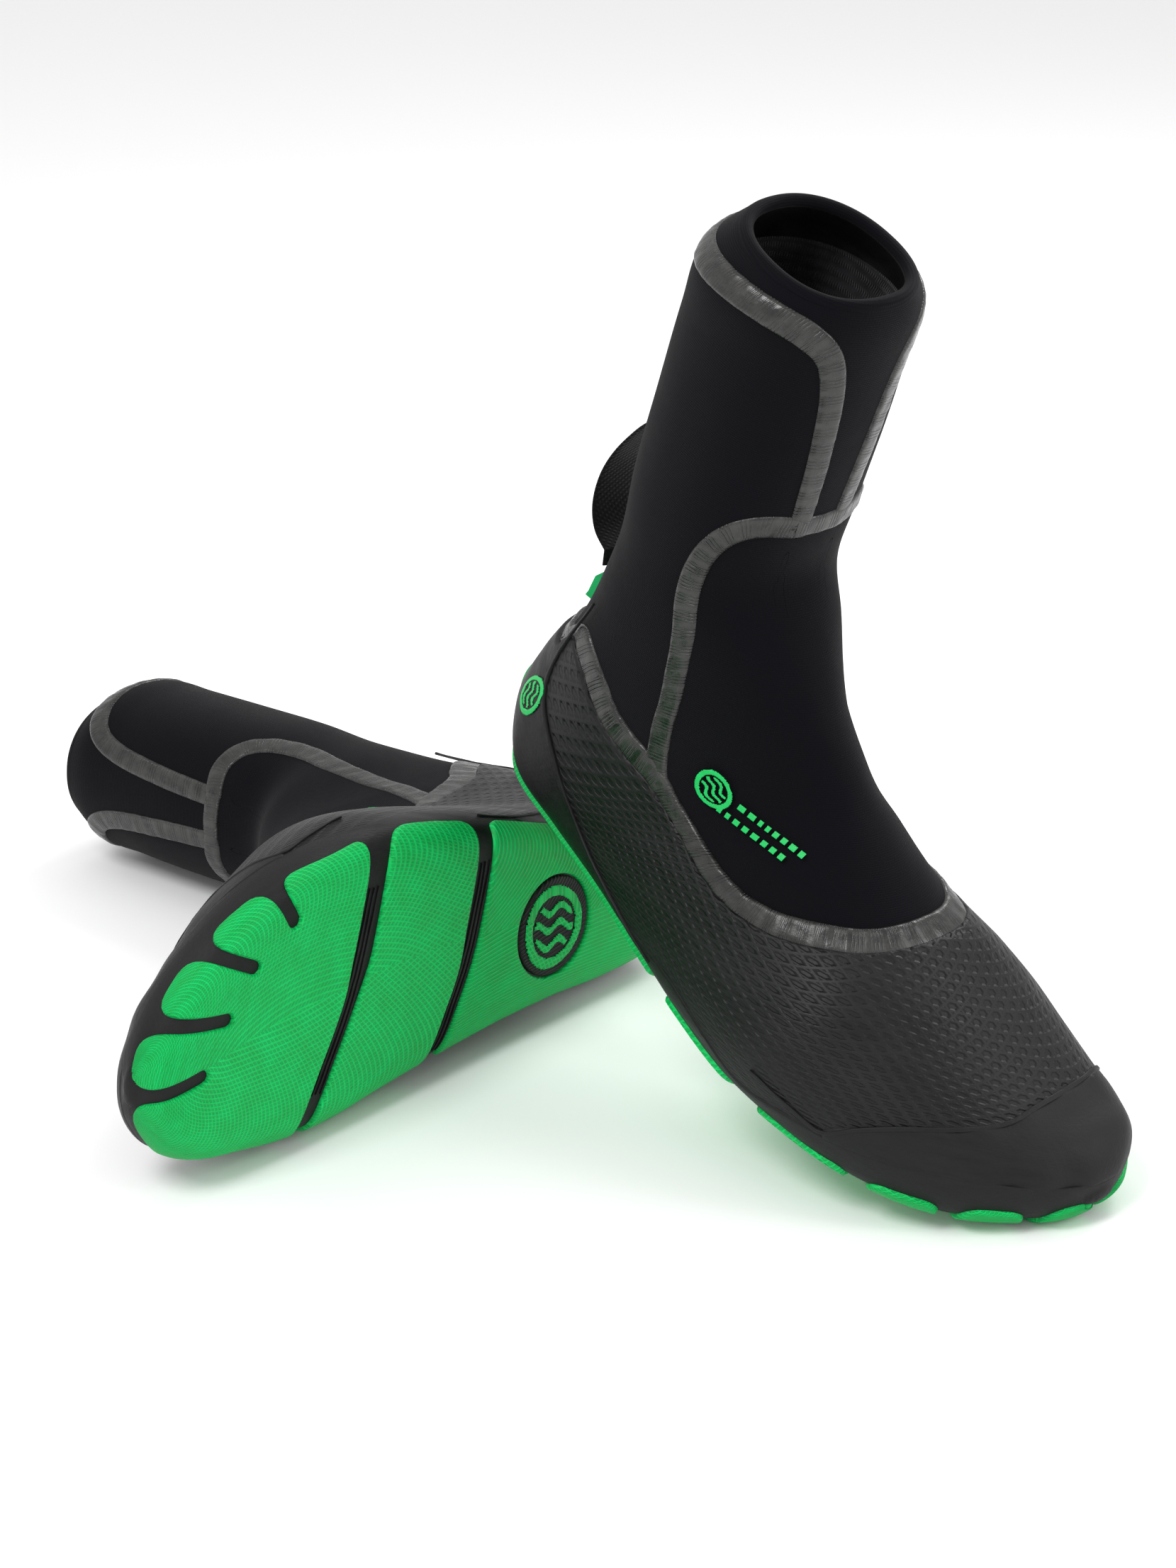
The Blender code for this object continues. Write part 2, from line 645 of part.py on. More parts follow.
def window_disc(name, radius):
    """A short upright cylinder through the sole at the round window."""
    x, y, _ = WINDOW
    bpy.ops.mesh.primitive_cylinder_add(vertices=28, radius=radius * MM, depth=20 * MM,
                                        location=(x * MM, y * MM, 0))
    disc = bpy.context.object
    disc.name = name
    bpy.context.view_layer.update()
    return disc


def sole_window():
    """The black inlay in the heel pad's round window."""
    window = round_shell("sole_window", TREAD, *PAD_SECTIONS[3])
    cut(window, window_disc("window_disc", WINDOW[2] - SEAM), "INTERSECT")
    return window


def tread_parts():
    return [(forefoot_pad(), GREEN_RUBBER), (midfoot_pad(), GREEN_RUBBER),
            (heel_pad(), GREEN_RUBBER), (sole_window(), BLACK_RUBBER)]


# ---------------------------------------------------------------- trim
def trim_parts():
    degrees, section = BADGE_PLACE
    across, along = form_scale(BADGE_PLACE)
    rim = []
    for step in range(16):
        angle = math.tau * step / 16
        rim.append((degrees + BADGE_RADIUS * math.cos(angle) / across,
                    section + BADGE_RADIUS * math.sin(angle) / along))
    badge = form_panel("heel_badge", rim, BADGE)
    strip = band([(180, STRIP_RANGE[0]), (180, sum(STRIP_RANGE) / 2), (180, STRIP_RANGE[1])],
                 STRIP_WIDTH, form_scale)
    achilles = form_panel("achilles_strip", strip, ACHILLES)
    return [(badge, GREEN_RUBBER), (achilles, GREEN_RUBBER)]


def loop_parts():
    """The webbing bow and the two sewn roots that it swings between."""
    line = smooth_line(LOOP_BOW, 2)
    bow = side_view_solid("pull_loop", band(line, WEBBING), WEBBING_WIDTH)
    hinge = Vector((LOOP_BOW[-1][0], 0, LOOP_BOW[-1][1])) * MM
    bow.data.transform(Matrix.Translation(-hinge) @ bow.matrix_basis)
    bow.matrix_basis = Matrix.Translation(hinge)
    parts = [(bow, WEBBING_CLOTH)]
    for name, ((x0, z0), (x1, z1)) in (("loop_root_upper", UPPER_ROOT),
                                       ("loop_root_lower", LOWER_ROOT)):
        bpy.ops.mesh.primitive_cube_add(size=1, location=((x0 + x1) / 2 * MM, 0,
                                                          (z0 + z1) / 2 * MM))
        root = bpy.context.object
        root.name = name
        root.data.transform(Matrix.Diagonal(((x1 - x0) * MM, WEBBING_WIDTH * MM,
                                             (z1 - z0) * MM, 1)))
        root.data.transform(Matrix.Translation(root.location))
        root.location = (0, 0, 0)
        parts.append((root, WEBBING_CLOTH))
    return parts


# ---------------------------------------------------------------- assembly
def material(name, colour, roughness):
    found = bpy.data.materials.get(name)
    if found:
        return found
    made = bpy.data.materials.new(name)
    made.use_nodes = True
    shader = made.node_tree.nodes["Principled BSDF"]
    shader.inputs["Base Color"].default_value = (*colour, 1)
    shader.inputs["Roughness"].default_value = roughness
    shader.inputs["Metallic"].default_value = 0.0
    return made


def mirror_mesh(mesh):
    """A copy of a mesh for the other foot."""
    copy = mesh.copy()
    work = bmesh.new()
    work.from_mesh(copy)
    work.transform(Matrix.Diagonal((1, -1, 1, 1)))
    bmesh.ops.reverse_faces(work, faces=work.faces)
    work.to_mesh(copy)
    work.free()
    return copy


def boot_frame(name, place, turn):
    frame = bpy.data.objects.new(name, None)
    bpy.context.scene.collection.objects.link(frame)
    frame.location = Vector(place) * MM
    frame.rotation_euler = [math.radians(angle) for angle in turn]
    return frame


def main():
    for obj in list(bpy.data.objects):
        bpy.data.objects.remove(obj)
    boots = bpy.data.collections.new("neoprene_boots")
    bpy.context.scene.collection.children.link(boots)
    right = boot_frame("right_boot_frame", *RIGHT_PLACE)
    left = boot_frame("left_boot_frame", *LEFT_PLACE)
    pieces = (lining_parts() + panel_parts() + tape_parts() + shell_parts() + tread_parts()
              + trim_parts() + loop_parts())
    for piece, look in pieces:
        tidy(piece, 2e-6)
        split_faces(piece)
        piece.data.materials.clear()
        piece.data.materials.append(material(*look))
        name = piece.name
        other = bpy.data.objects.new("left_" + name, mirror_mesh(piece.data))
        piece.name = "right_" + name
        other.location = piece.location
        for obj, frame in ((piece, right), (other, left)):
            for collection in list(obj.users_collection):
                collection.objects.unlink(obj)
            boots.objects.link(obj)
            obj.parent = frame
    bpy.context.view_layer.update()


main()
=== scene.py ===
# %% [markdown]
# # A pair of neoprene surf boots
#
# Each boot is a stack of thin layers over one foot shape: foam panels, tapes over their
# seams, a moulded rubber shell, and a green tread. So this lesson builds the foot shape
# once, as a formula, and every piece is a layer on it. The left boot is the mirror image.

# %% Load the frame
import math

import bmesh
import bpy
import numpy as np
from mathutils import Euler, Matrix, Vector


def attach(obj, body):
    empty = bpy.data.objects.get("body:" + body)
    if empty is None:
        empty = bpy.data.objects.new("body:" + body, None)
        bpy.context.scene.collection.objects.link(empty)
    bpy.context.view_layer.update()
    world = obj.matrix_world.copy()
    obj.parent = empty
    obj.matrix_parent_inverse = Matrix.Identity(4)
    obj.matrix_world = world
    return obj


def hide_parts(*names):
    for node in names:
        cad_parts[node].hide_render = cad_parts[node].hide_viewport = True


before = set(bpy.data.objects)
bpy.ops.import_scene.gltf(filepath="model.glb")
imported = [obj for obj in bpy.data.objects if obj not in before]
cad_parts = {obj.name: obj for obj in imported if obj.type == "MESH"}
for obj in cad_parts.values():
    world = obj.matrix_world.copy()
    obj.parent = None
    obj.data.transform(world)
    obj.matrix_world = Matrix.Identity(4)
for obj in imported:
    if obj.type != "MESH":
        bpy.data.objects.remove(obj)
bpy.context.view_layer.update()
MM = 0.001

# %% [markdown]
# ## The foot shape
#
# A last, the foot-shaped block that a boot is moulded on, is best drawn as cross
# sections. Each section is a rounded ring between a front point and a back point, and
# the sections fan from level at the cuff to upright at the toes. A table of them and one
# formula give any point, so no piece needs to be modelled by hand.

# %% The table of sections
# Per row: front x, z; back x, z; where it is widest; half widths to the outer and the
# inner side; how square the front and the back half are. Millimetres, cuff to toe.
SECTIONS = np.array([
    (104, 262.5, 40.5, 267, 0.50, 28.5, 28.5, 2.2, 2.2),
    (105.5, 252, 30, 251, 0.50, 37, 37, 2.2, 2.2),
    (105.5, 235, 28.5, 229, 0.50, 37.5, 37.5, 2.2, 2.2),
    (105, 205, 28, 199, 0.50, 38, 38, 2.2, 2.2),
    (103.5, 175, 28, 161, 0.50, 38, 38, 2.2, 2.2), (103.5, 153, 28.5, 128, 0.50, 37, 37, 2.2, 2.2),
    (113.5, 139.5, 21, 92, 0.47, 36.5, 37, 2.2, 2.2), (122.5, 126, 8, 60, 0.45, 36, 37, 2.2, 2.3),
    (132.5, 114.5, 2, 34, 0.42, 36, 36, 2.2, 2.4), (143, 103.5, 10, 8, 0.40, 36, 36, 2.2, 2.5),
    (152, 94, 36, 0, 0.40, 37, 36, 2.2, 2.4), (163, 88, 70, 0, 0.40, 42, 37, 2.2, 2.5),
    (176, 81, 105, 0, 0.38, 47.5, 38, 2.2, 2.8), (190, 73, 140, 0, 0.36, 53, 41, 2.2, 3.1),
    (205, 66, 172, 0, 0.35, 56, 45, 2.3, 3.3), (220, 58, 200, 0, 0.34, 53, 49, 2.3, 3.4),
    (236, 50, 224, 0, 0.34, 47, 49.5, 2.3, 3.4), (251, 43, 245, 1, 0.35, 38, 48, 2.4, 3.2),
    (264, 38, 261, 3, 0.37, 27, 47, 2.4, 2.9), (275, 35, 273, 6, 0.40, 14, 43, 2.3, 2.5),
    (283, 29, 282, 10, 0.44, 0, 33, 2.2, 2.1), (286.5, 22, 286, 17, 0.50, -12, 24, 2.0, 2.0)])
TOE = len(SECTIONS) - 1
TIP = TOE + 1                     # between TOE and TIP the last ring closes
TIP_BULGE = 1.5
SOLE_PLANE, SOLE_BLEND = 5, 4
INSTEP_SKEW = 12


def catmull(before, start, end, after, f):
    """Values between start and end on a smooth curve through all four."""
    return 0.5 * (2 * start + (end - before) * f
                  + (2 * before - 5 * start + 4 * end - after) * f ** 2
                  + (3 * start - before - 3 * end + after) * f ** 3)


def section_values(section):
    at = np.clip(np.asarray(section, float), 0, TOE)
    i = np.minimum(at.astype(int), TOE - 1)
    return catmull(SECTIONS[np.maximum(i - 1, 0)], SECTIONS[i], SECTIONS[i + 1],
                   SECTIONS[np.minimum(i + 2, TOE)], (at - i)[..., None])


def signed_power(value, exponent):
    return np.sign(value) * np.abs(value) ** exponent


def even_turn(section, degrees):
    """The even angle round a section, for the angle that a line is drawn with."""
    values, angle = section_values(section), np.radians(degrees)
    power = 2 / np.where(np.cos(angle) >= 0, values[..., 7], values[..., 8])
    return np.degrees(np.arctan2(signed_power(np.sin(angle), power),
                                 signed_power(np.cos(angle), power)))


def form(section, turn):
    """Points of the foot shape in mm: turn 0 is the front, 90 the outer side."""
    section, turn = np.broadcast_arrays(np.asarray(section, float), np.asarray(turn, float))
    xf, zf, xb, zb, widest, outer, inner, front, back = np.moveaxis(
        section_values(section), -1, 0)
    c, s = np.cos(np.radians(turn)), np.sin(np.radians(turn))
    roundness = np.where(c >= 0, front, back)
    radius = (np.abs(c) ** roundness + np.abs(s) ** roundness) ** (-1 / roundness)
    c, s = c * radius, s * radius
    cx, cz = xb + (xf - xb) * widest, zb + (zf - zb) * widest
    x = cx + np.where(c >= 0, xf - cx, cx - xb) * c
    z = cz + np.where(c >= 0, zf - cz, cz - zb) * c
    y = (inner - outer) / 2 - s * (inner + outer) / 2
    skew = np.clip((section - 8) / 6, 0, 1) * np.clip((TOE + 0.5 - section) / 4, 0, 1)
    y = y + INSTEP_SKEW * skew * np.maximum(c, 0) ** 1.5
    over = z - SOLE_PLANE
    z = np.where(over > SOLE_BLEND, z, SOLE_PLANE
                 + np.maximum(over + SOLE_BLEND, 0) ** 2 / (4 * SOLE_BLEND))
    closing = np.clip(section - TOE, 0, 1) * math.pi / 2
    middle = np.stack([(xf + xb) / 2, (inner - outer) / 2, (zf + zb) / 2], -1)
    place = middle + (np.stack([x, y, z], -1) - middle) * np.cos(closing)[..., None]
    place[..., 0] += TIP_BULGE * np.sin(closing)
    return place


def outward(section, turn):
    """Unit normals of the foot shape."""
    section, turn = np.broadcast_arrays(np.asarray(section, float), np.asarray(turn, float))
    along = (form(np.minimum(section + 0.05, TIP), turn)
             - form(np.maximum(section - 0.05, 0), turn))
    around = form(section, turn + 1) - form(section, turn - 1)
    normal = np.cross(around, along)
    size = np.linalg.norm(normal, axis=-1, keepdims=True)
    return np.where(size > 1e-4, normal / np.maximum(size, 1e-9), (1.0, 0.0, 0.0))


def on_form(section, turn, distance=0.0):
    return form(section, turn) + outward(section, turn) * np.asarray(distance)[..., None]


print("foot shape:", form(0, 0).round(1), "to", form(TIP, 0).round(1))

# %% [markdown]
# Patterns such as the knit or the moulded lattice need flat coordinates. A boot can't be
# unrolled exactly, but the length round a section and the length along the boot, both in
# millimetres, come close, and they keep a pattern's scale even.

# %% Lengths over the surface
TABLE_ROWS = np.arange(0, TIP + 0.01, 0.1)
TABLE_TURNS = np.arange(-180, 361, 3.0)


def length_tables():
    rows, turns = np.meshgrid(TABLE_ROWS, TABLE_TURNS, indexing="ij")
    place = form(rows, turns)
    around = np.zeros(rows.shape)
    around[:, 1:] = np.cumsum(np.linalg.norm(np.diff(place, axis=1), axis=-1), axis=1)
    front = list(TABLE_TURNS).index(0)
    around -= around[:, front:front + 1]
    along = np.zeros(rows.shape)
    along[1:] = np.cumsum(np.linalg.norm(np.diff(place, axis=0), axis=-1), axis=0)
    return around, along


AROUND, ALONG = length_tables()


def surface_lengths(section, turn):
    """Millimetres round from the front line, and along from the cuff."""
    u = np.clip(np.asarray(section) / 0.1, 0, len(TABLE_ROWS) - 1.001)
    v = np.clip((np.asarray(turn) + 180) / 3, 0, len(TABLE_TURNS) - 1.001)
    i, j = u.astype(int), v.astype(int)
    f, g = u - i, v - j
    found = []
    for table in (AROUND, ALONG):
        found.append((table[i, j] * (1 - f) + table[i + 1, j] * f) * (1 - g)
                     + (table[i, j + 1] * (1 - f) + table[i + 1, j + 1] * f) * g)
    return found


MEAN_ALONG = ALONG[:, ::15].mean(axis=1)
print("length over the middle of the boot: %.0f mm" % MEAN_ALONG[-1])

# %% [markdown]
# ## Where the pieces end
#
# The real pieces are cut from sheets or end at a mould's parting line. Every outline here
# is a line drawn on the foot shape: the cuff and ankle seams by angle and section, the
# shell's top and the tread's grooves from the side or from above.

# %% The outlines
COLLAR_LINE = [(180, .95), (140, .9), (118, .85), (95, .8), (70, .8), (48, .95), (31, 1.35),
               (21, 2.1), (16, 2.9), (13.5, 3.6), (13, 3.95)]
ANKLE_LINE = [(13, 3.95), (33, 3.9), (50, 4.05), (61, 4.45), (66, 5.15), (66, 6.1),
              (66, 7.2), (68, 8.1), (70, 8.8), (71, 9.6)]
SHELL_TOP = [(-20, 79), (25, 79), (31, 85), (38, 89), (50, 82), (60, 74), (75, 68),
             (90, 65), (104, 60), (122, 56), (142, 55), (162, 58), (180, 63), (194, 67),
             (204, 72), (212, 84), (330, 110)]
COUNTER_LINE = [(44, 110), (36, 90), (31, 70), (34, 57), (46, 43), (66, 26), (84, 19),
                (108, 14), (128, 10)]
CAP_LINE = [(188, -70), (196, -60), (210, -54), (226, -46), (240, -33), (250, -20),
            (257, -5), (257, 10), (256, 26), (252, 42), (240, 58), (232, 70)]
OUTSOLE_TOP = [(-20, 17), (20, 15), (60, 10.5), (95, 11.5), (115, 17), (140, 19.5),
               (165, 17), (185, 14), (205, 17), (235, 21), (262, 25), (300, 26)]
FRONT_GROOVE = [(182, -75), (188, -40), (197, 0), (212, 33), (229, 70)]
REAR_GROOVE = [(127, -65), (130, -35), (137, 0), (148, 26), (166, 65)]
GROOVE_WIDTH = 7
TOE_SLITS = [((268, 15), (296, 24)), ((258, -3), (290, -4)), ((246, -19), (283, -35)),
             ((228, -32), (252, -72))]
TOE_SLIT_WIDTH = 4.6
WINDOW = (91, 0, 20)


def smooth_line(points, steps=6):
    """A smooth curve through points, as an array of many points."""
    ends = np.array([points[0], *points, points[-1]], float)
    line = []
    for i in range(len(points) - 1):
        for step in range(steps):
            line.append(catmull(*ends[i:i + 4], step / steps))
    return np.array(line + [ends[-1]])


def height_at(line, across):
    """Reads a curve that is drawn as value against position."""
    curve = smooth_line(line)
    order = np.argsort(curve[:, 0])
    return np.interp(across, curve[order, 0], curve[order, 1])


def swapped(line):
    return [(b, a) for a, b in line]


def smooth_max(a, b, blend):
    """The larger of two values, with the corner between them rounded by blend mm."""
    near = np.maximum(blend - np.abs(a - b), 0) / blend
    return np.maximum(a, b) + near ** 2 * blend / 4


def shell_top(section, turn, place):
    """Above zero over the shell's top edge."""
    return place[..., 2] - height_at(SHELL_TOP, place[..., 0])


# %% [markdown]
# ## Layers
#
# Every piece comes from one recipe. A fine grid on the foot shape gets, at each corner,
# its depth inside the piece's outline. The grid is cut where the depth is zero and scored
# at a few small depths, and the height rises over those scores in a quarter circle. That
# gives the rolled edge of moulded rubber, which a plain extrusion lacks. A Boolean could
# cut the outline too, but it leaves uneven triangles that show in the highlights.

# %% Grid, outline and edge
GRID_STEP = 2.0                   # mm
GRID_TURNS = np.arange(-180, 180, 2.0)
SCORES = (0.1, 0.35, 1.0)         # shares of the rolled edge's width


def grid(first, last, step=GRID_STEP):
    """Section and turn at each corner of an even grid all the way round."""
    start, end = np.interp([first, last], TABLE_ROWS, MEAN_ALONG)
    rows = np.interp(np.linspace(start, end, max(3, round((end - start) / step))),
                     MEAN_ALONG, TABLE_ROWS)
    return np.meshgrid(rows, GRID_TURNS, indexing="ij")


def depth_inside(section, turn, value):
    """Turns a value that is negative inside into millimetres inside."""
    place = form(section, turn)
    down = np.gradient(value, axis=0) / np.maximum(
        np.linalg.norm(np.gradient(place, axis=0), axis=-1), 0.05)
    step = np.linalg.norm(np.roll(place, -1, 1) - np.roll(place, 1, 1), axis=-1)
    across = (np.roll(value, -1, 1) - np.roll(value, 1, 1)) / np.maximum(step, 0.05)
    return -value / np.clip(np.hypot(down, across), 0.4, 4)


def grid_faces(rows, columns):
    index = np.arange(rows * columns).reshape(rows, columns)
    after = np.roll(index, -1, 1)
    return np.stack([index[:-1], after[:-1], after[1:], index[1:]], -1).reshape(-1, 4)


def score(corners, faces, level):
    """Adds a line of corners where the depth is level, and splits the faces there."""
    made, result = {}, []
    for face in faces:
        over = [corners[i][2] >= level for i in face]
        if all(over) or not any(over):
            result.append(face)
            continue
        parts = {True: [], False: []}
        for k, here in enumerate(face):
            there = face[(k + 1) % len(face)]
            parts[over[k]].append(here)
            if over[k] == over[(k + 1) % len(face)]:
                continue
            edge = (min(here, there), max(here, there))
            if edge not in made:
                a, b = corners[edge[0]], corners[edge[1]]
                f = (level - a[2]) / (b[2] - a[2])
                turned = (b[1] - a[1] + 180) % 360 - 180
                made[edge] = len(corners)
                corners.append((a[0] + (b[0] - a[0]) * f, a[1] + turned * f, level))
            for part in parts.values():
                part.append(made[edge])
        result += [part for part in parts.values() if len(part) > 2]
    return result


def cut_grid(section, turn, value, rolled):
    """The part of a grid inside an outline, scored for a rolled edge."""
    depth = depth_inside(section, turn, value)
    corners = list(zip(section.ravel(), turn.ravel(), depth.ravel()))
    faces = grid_faces(*section.shape)
    shallow = depth.ravel()[faces]
    faces = faces[(shallow > 0).any(axis=1)]
    near = (depth.ravel()[faces] < rolled * 1.01).any(axis=1)
    inner, faces = faces[~near].tolist(), faces[near].tolist()
    faces = score(corners, faces, 0.0)
    faces = [face for face in faces if min(corners[i][2] for i in face) > -1e-9]
    for share in SCORES:
        faces = score(corners, faces, rolled * share)
    faces += inner
    used = sorted({i for face in faces for i in face})
    place = {old: new for new, old in enumerate(used)}
    return (np.array([corners[i] for i in used]),
            [[place[i] for i in face] for face in faces])


# %% Meshes and the two boots
PLACES = {"right": ((-6.0, 20.9, 98.5), (2.8, 22.0, -48.8)),
          "left": ((64.8, 43.6, 32.6), (90.2, -6.0, -130.6))}
SHARP = math.radians(52)


def boot_matrix(side):
    place, turn = PLACES[side]
    rotation = Euler([math.radians(angle) for angle in turn]).to_matrix().to_4x4()
    return Matrix.Translation(Vector(place) * MM) @ rotation


def make_mesh(name, places, faces, uvs):
    """A smooth mesh from places in mm, with a pattern coordinate for each face corner."""
    mesh = bpy.data.meshes.new(name)
    mesh.from_pydata((np.asarray(places) * MM).tolist(), [], faces)
    layer = mesh.uv_layers.new(name="pattern")
    layer.data.foreach_set("uv", np.asarray(uvs, np.float32).ravel())
    work = bmesh.new()
    work.from_mesh(mesh)
    bmesh.ops.remove_doubles(work, verts=work.verts, dist=0.06 * MM)
    bmesh.ops.dissolve_degenerate(work, edges=work.edges, dist=0.02 * MM)
    for face in work.faces:
        face.smooth = True
    work.to_mesh(mesh)
    work.free()
    mesh.set_sharp_from_angle(angle=SHARP)
    return mesh


def mirrored(mesh):
    copy = mesh.copy()
    work = bmesh.new()
    work.from_mesh(copy)
    work.transform(Matrix.Diagonal((1, -1, 1, 1)))
    bmesh.ops.reverse_faces(work, faces=work.faces)
    work.to_mesh(copy)
    work.free()
    return copy


def put_on_boots(name, mesh, finish, body="boot", nodes=None):
    """Places a piece on the right boot and its mirror image on the left one."""
    nodes = [name] if nodes is None else nodes
    mesh.materials.append(finish)
    for side, shape in (("right", mesh), ("left", mirrored(mesh))):
        piece = bpy.data.objects.new("%s_%s_fine" % (side, name), shape)
        bpy.context.scene.collection.objects.link(piece)
        shape.transform(boot_matrix(side))
        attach(piece, "%s_%s" % (side, body))
        if nodes:
            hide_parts(*["%s_%s" % (side, node) for node in nodes])
        PIECES[piece.name] = piece
    print("%-20s %6d faces" % (name, len(mesh.polygons)))


PIECES = {}


def corner_uvs(section, turn, faces):
    """Pattern coordinates in metres, kept whole where a face crosses the back line."""
    uvs = []
    section, turn = np.asarray(section), np.asarray(turn)
    for face in faces:
        t = turn[face]
        if t.max() - t.min() > 180:
            t = np.where(t < 0, t + 360, t)
        uvs.append((section[face], t))
    s = np.concatenate([u[0] for u in uvs])
    t = np.concatenate([u[1] for u in uvs])
    around, along = surface_lengths(s, t)
    return np.stack([around, along], -1) * MM


def layer_mesh(name, section, turn, value, low, high, rolled, relief=None):
    """A closed layer on the foot shape, inside the outline where value is negative."""
    corners, faces = cut_grid(section, turn, value, rolled)
    s, t, depth = corners.T
    place, normal = form(s, t), outward(s, t)
    share = np.clip(depth / rolled, 0, 1)
    height = low + (high - low) * np.sqrt(1 - (1 - share) ** 2)
    if relief is not None:
        height = height + relief(s, t, place, depth) * share
    top = place + normal * height[:, None]
    bottom = place + normal * low
    on_edge = depth < 1e-6
    under = np.where(on_edge, np.arange(len(s)), 0)
    under[~on_edge] = len(s) + np.arange((~on_edge).sum())
    places = np.concatenate([top, bottom[~on_edge]])
    back = [[int(under[i]) for i in face[::-1]] for face in faces]
    uvs = corner_uvs(np.concatenate([s, s[~on_edge]]), np.concatenate([t, t[~on_edge]]),
                     faces + back)
    return make_mesh(name, places, faces + back, uvs)

# %% [markdown]
# ## Finishes
#
# Every finish is built from the pattern coordinates, in metres over the surface. Knitted
# jersey, ribbed lining and webbing are woven: two crossed sets of fine waves give the
# threads, and a wide noise keeps the dye from looking flat. The rubbers share one make-up:
# up to three sets of waves at their own angles press a lattice, a knurl or plain ribs into
# the surface, and noise breaks up colour and gloss the way handling does. In both, the
# pattern also darkens the colour in its gaps and hollows, which is painted shade.

# %% Finishes
WAVE_PER_PITCH = 0.31416          # a band texture's scale for a pitch of 1


def pattern_start(name, pitches, angles):
    """A new material: pattern coordinates in mm, turned for each set of waves."""
    made = bpy.data.materials.new(name)
    made.use_nodes = True
    nodes, links = made.node_tree.nodes, made.node_tree.links
    shader = nodes["Principled BSDF"]
    shader.label, shader.location = "surface", (900, 0)
    nodes["Material Output"].location = (1200, 0)
    place = nodes.new("ShaderNodeUVMap")
    place.label, place.location = "pattern, metres", (-1500, 0)
    place.uv_map = "pattern"
    box = nodes.new("NodeFrame")
    box.label = "pressed or woven pattern"
    waves = []
    for row, (pitch, angle) in enumerate(zip(pitches, angles)):
        turn = nodes.new("ShaderNodeMapping")
        turn.label, turn.location, turn.parent = "to mm, turned", (-1250, 300 - 320 * row), box
        turn.inputs["Scale"].default_value = (1000, 1000, 1000)
        turn.inputs["Rotation"].default_value = (0, 0, math.radians(angle))
        links.new(place.outputs["UV"], turn.inputs["Vector"])
        wave = nodes.new("ShaderNodeTexWave")
        wave.label, wave.location, wave.parent = "ridges", (-1000, 300 - 320 * row), box
        wave.inputs["Scale"].default_value = WAVE_PER_PITCH / pitch
        links.new(turn.outputs["Vector"], wave.inputs["Vector"])
        waves.append(wave)
    return made, place, waves


def add_variation(made, place, size, detail, colours, gloss):
    """Noise over the surface that mixes two colours and two roughnesses."""
    nodes, links = made.node_tree.nodes, made.node_tree.links
    shader = nodes["Principled BSDF"]
    box = nodes.new("NodeFrame")
    box.label = "colour and gloss variation"
    noise = nodes.new("ShaderNodeTexNoise")
    noise.label, noise.location, noise.parent = "patches", (-700, -500), box
    noise.inputs["Scale"].default_value = 1000 / size
    noise.inputs["Detail"].default_value = detail
    noise.inputs["Roughness"].default_value = 0.62
    links.new(place.outputs["UV"], noise.inputs["Vector"])
    ramp = nodes.new("ShaderNodeValToRGB")
    ramp.label, ramp.location, ramp.parent = "colour", (-400, -400), box
    ramp.color_ramp.elements[0].position = 0.35
    ramp.color_ramp.elements[0].color = (*colours[0], 1)
    ramp.color_ramp.elements[1].position = 0.68
    ramp.color_ramp.elements[1].color = (*colours[1], 1)
    links.new(noise.outputs["Fac"], ramp.inputs["Fac"])
    links.new(ramp.outputs["Color"], shader.inputs["Base Color"])
    rough = nodes.new("ShaderNodeMapRange")
    rough.label, rough.location, rough.parent = "gloss", (-400, -700), box
    rough.inputs["From Min"].default_value = 0.35
    rough.inputs["From Max"].default_value = 0.65
    rough.inputs["To Min"].default_value = gloss[0]
    rough.inputs["To Max"].default_value = gloss[1]
    links.new(noise.outputs["Fac"], rough.inputs["Value"])
    links.new(rough.outputs["Result"], shader.inputs["Roughness"])
    return ramp


def add_grain(made, place, size, depth, before=None):
    """Fine grain, pressed in after the pattern."""
    nodes, links = made.node_tree.nodes, made.node_tree.links
    shader = nodes["Principled BSDF"]
    noise = nodes.new("ShaderNodeTexNoise")
    noise.label, noise.location = "grain", (200, -600)
    noise.inputs["Scale"].default_value = 1000 / size
    noise.inputs["Detail"].default_value = 3
    links.new(place.outputs["UV"], noise.inputs["Vector"])
    bump = nodes.new("ShaderNodeBump")
    bump.label, bump.location = "grain depth", (600, -500)
    bump.inputs["Strength"].default_value = 0.6
    bump.inputs["Distance"].default_value = depth / 1000
    links.new(noise.outputs["Fac"], bump.inputs["Height"])
    if before is not None:
        links.new(before.outputs["Normal"], bump.inputs["Normal"])
    links.new(bump.outputs["Normal"], shader.inputs["Normal"])


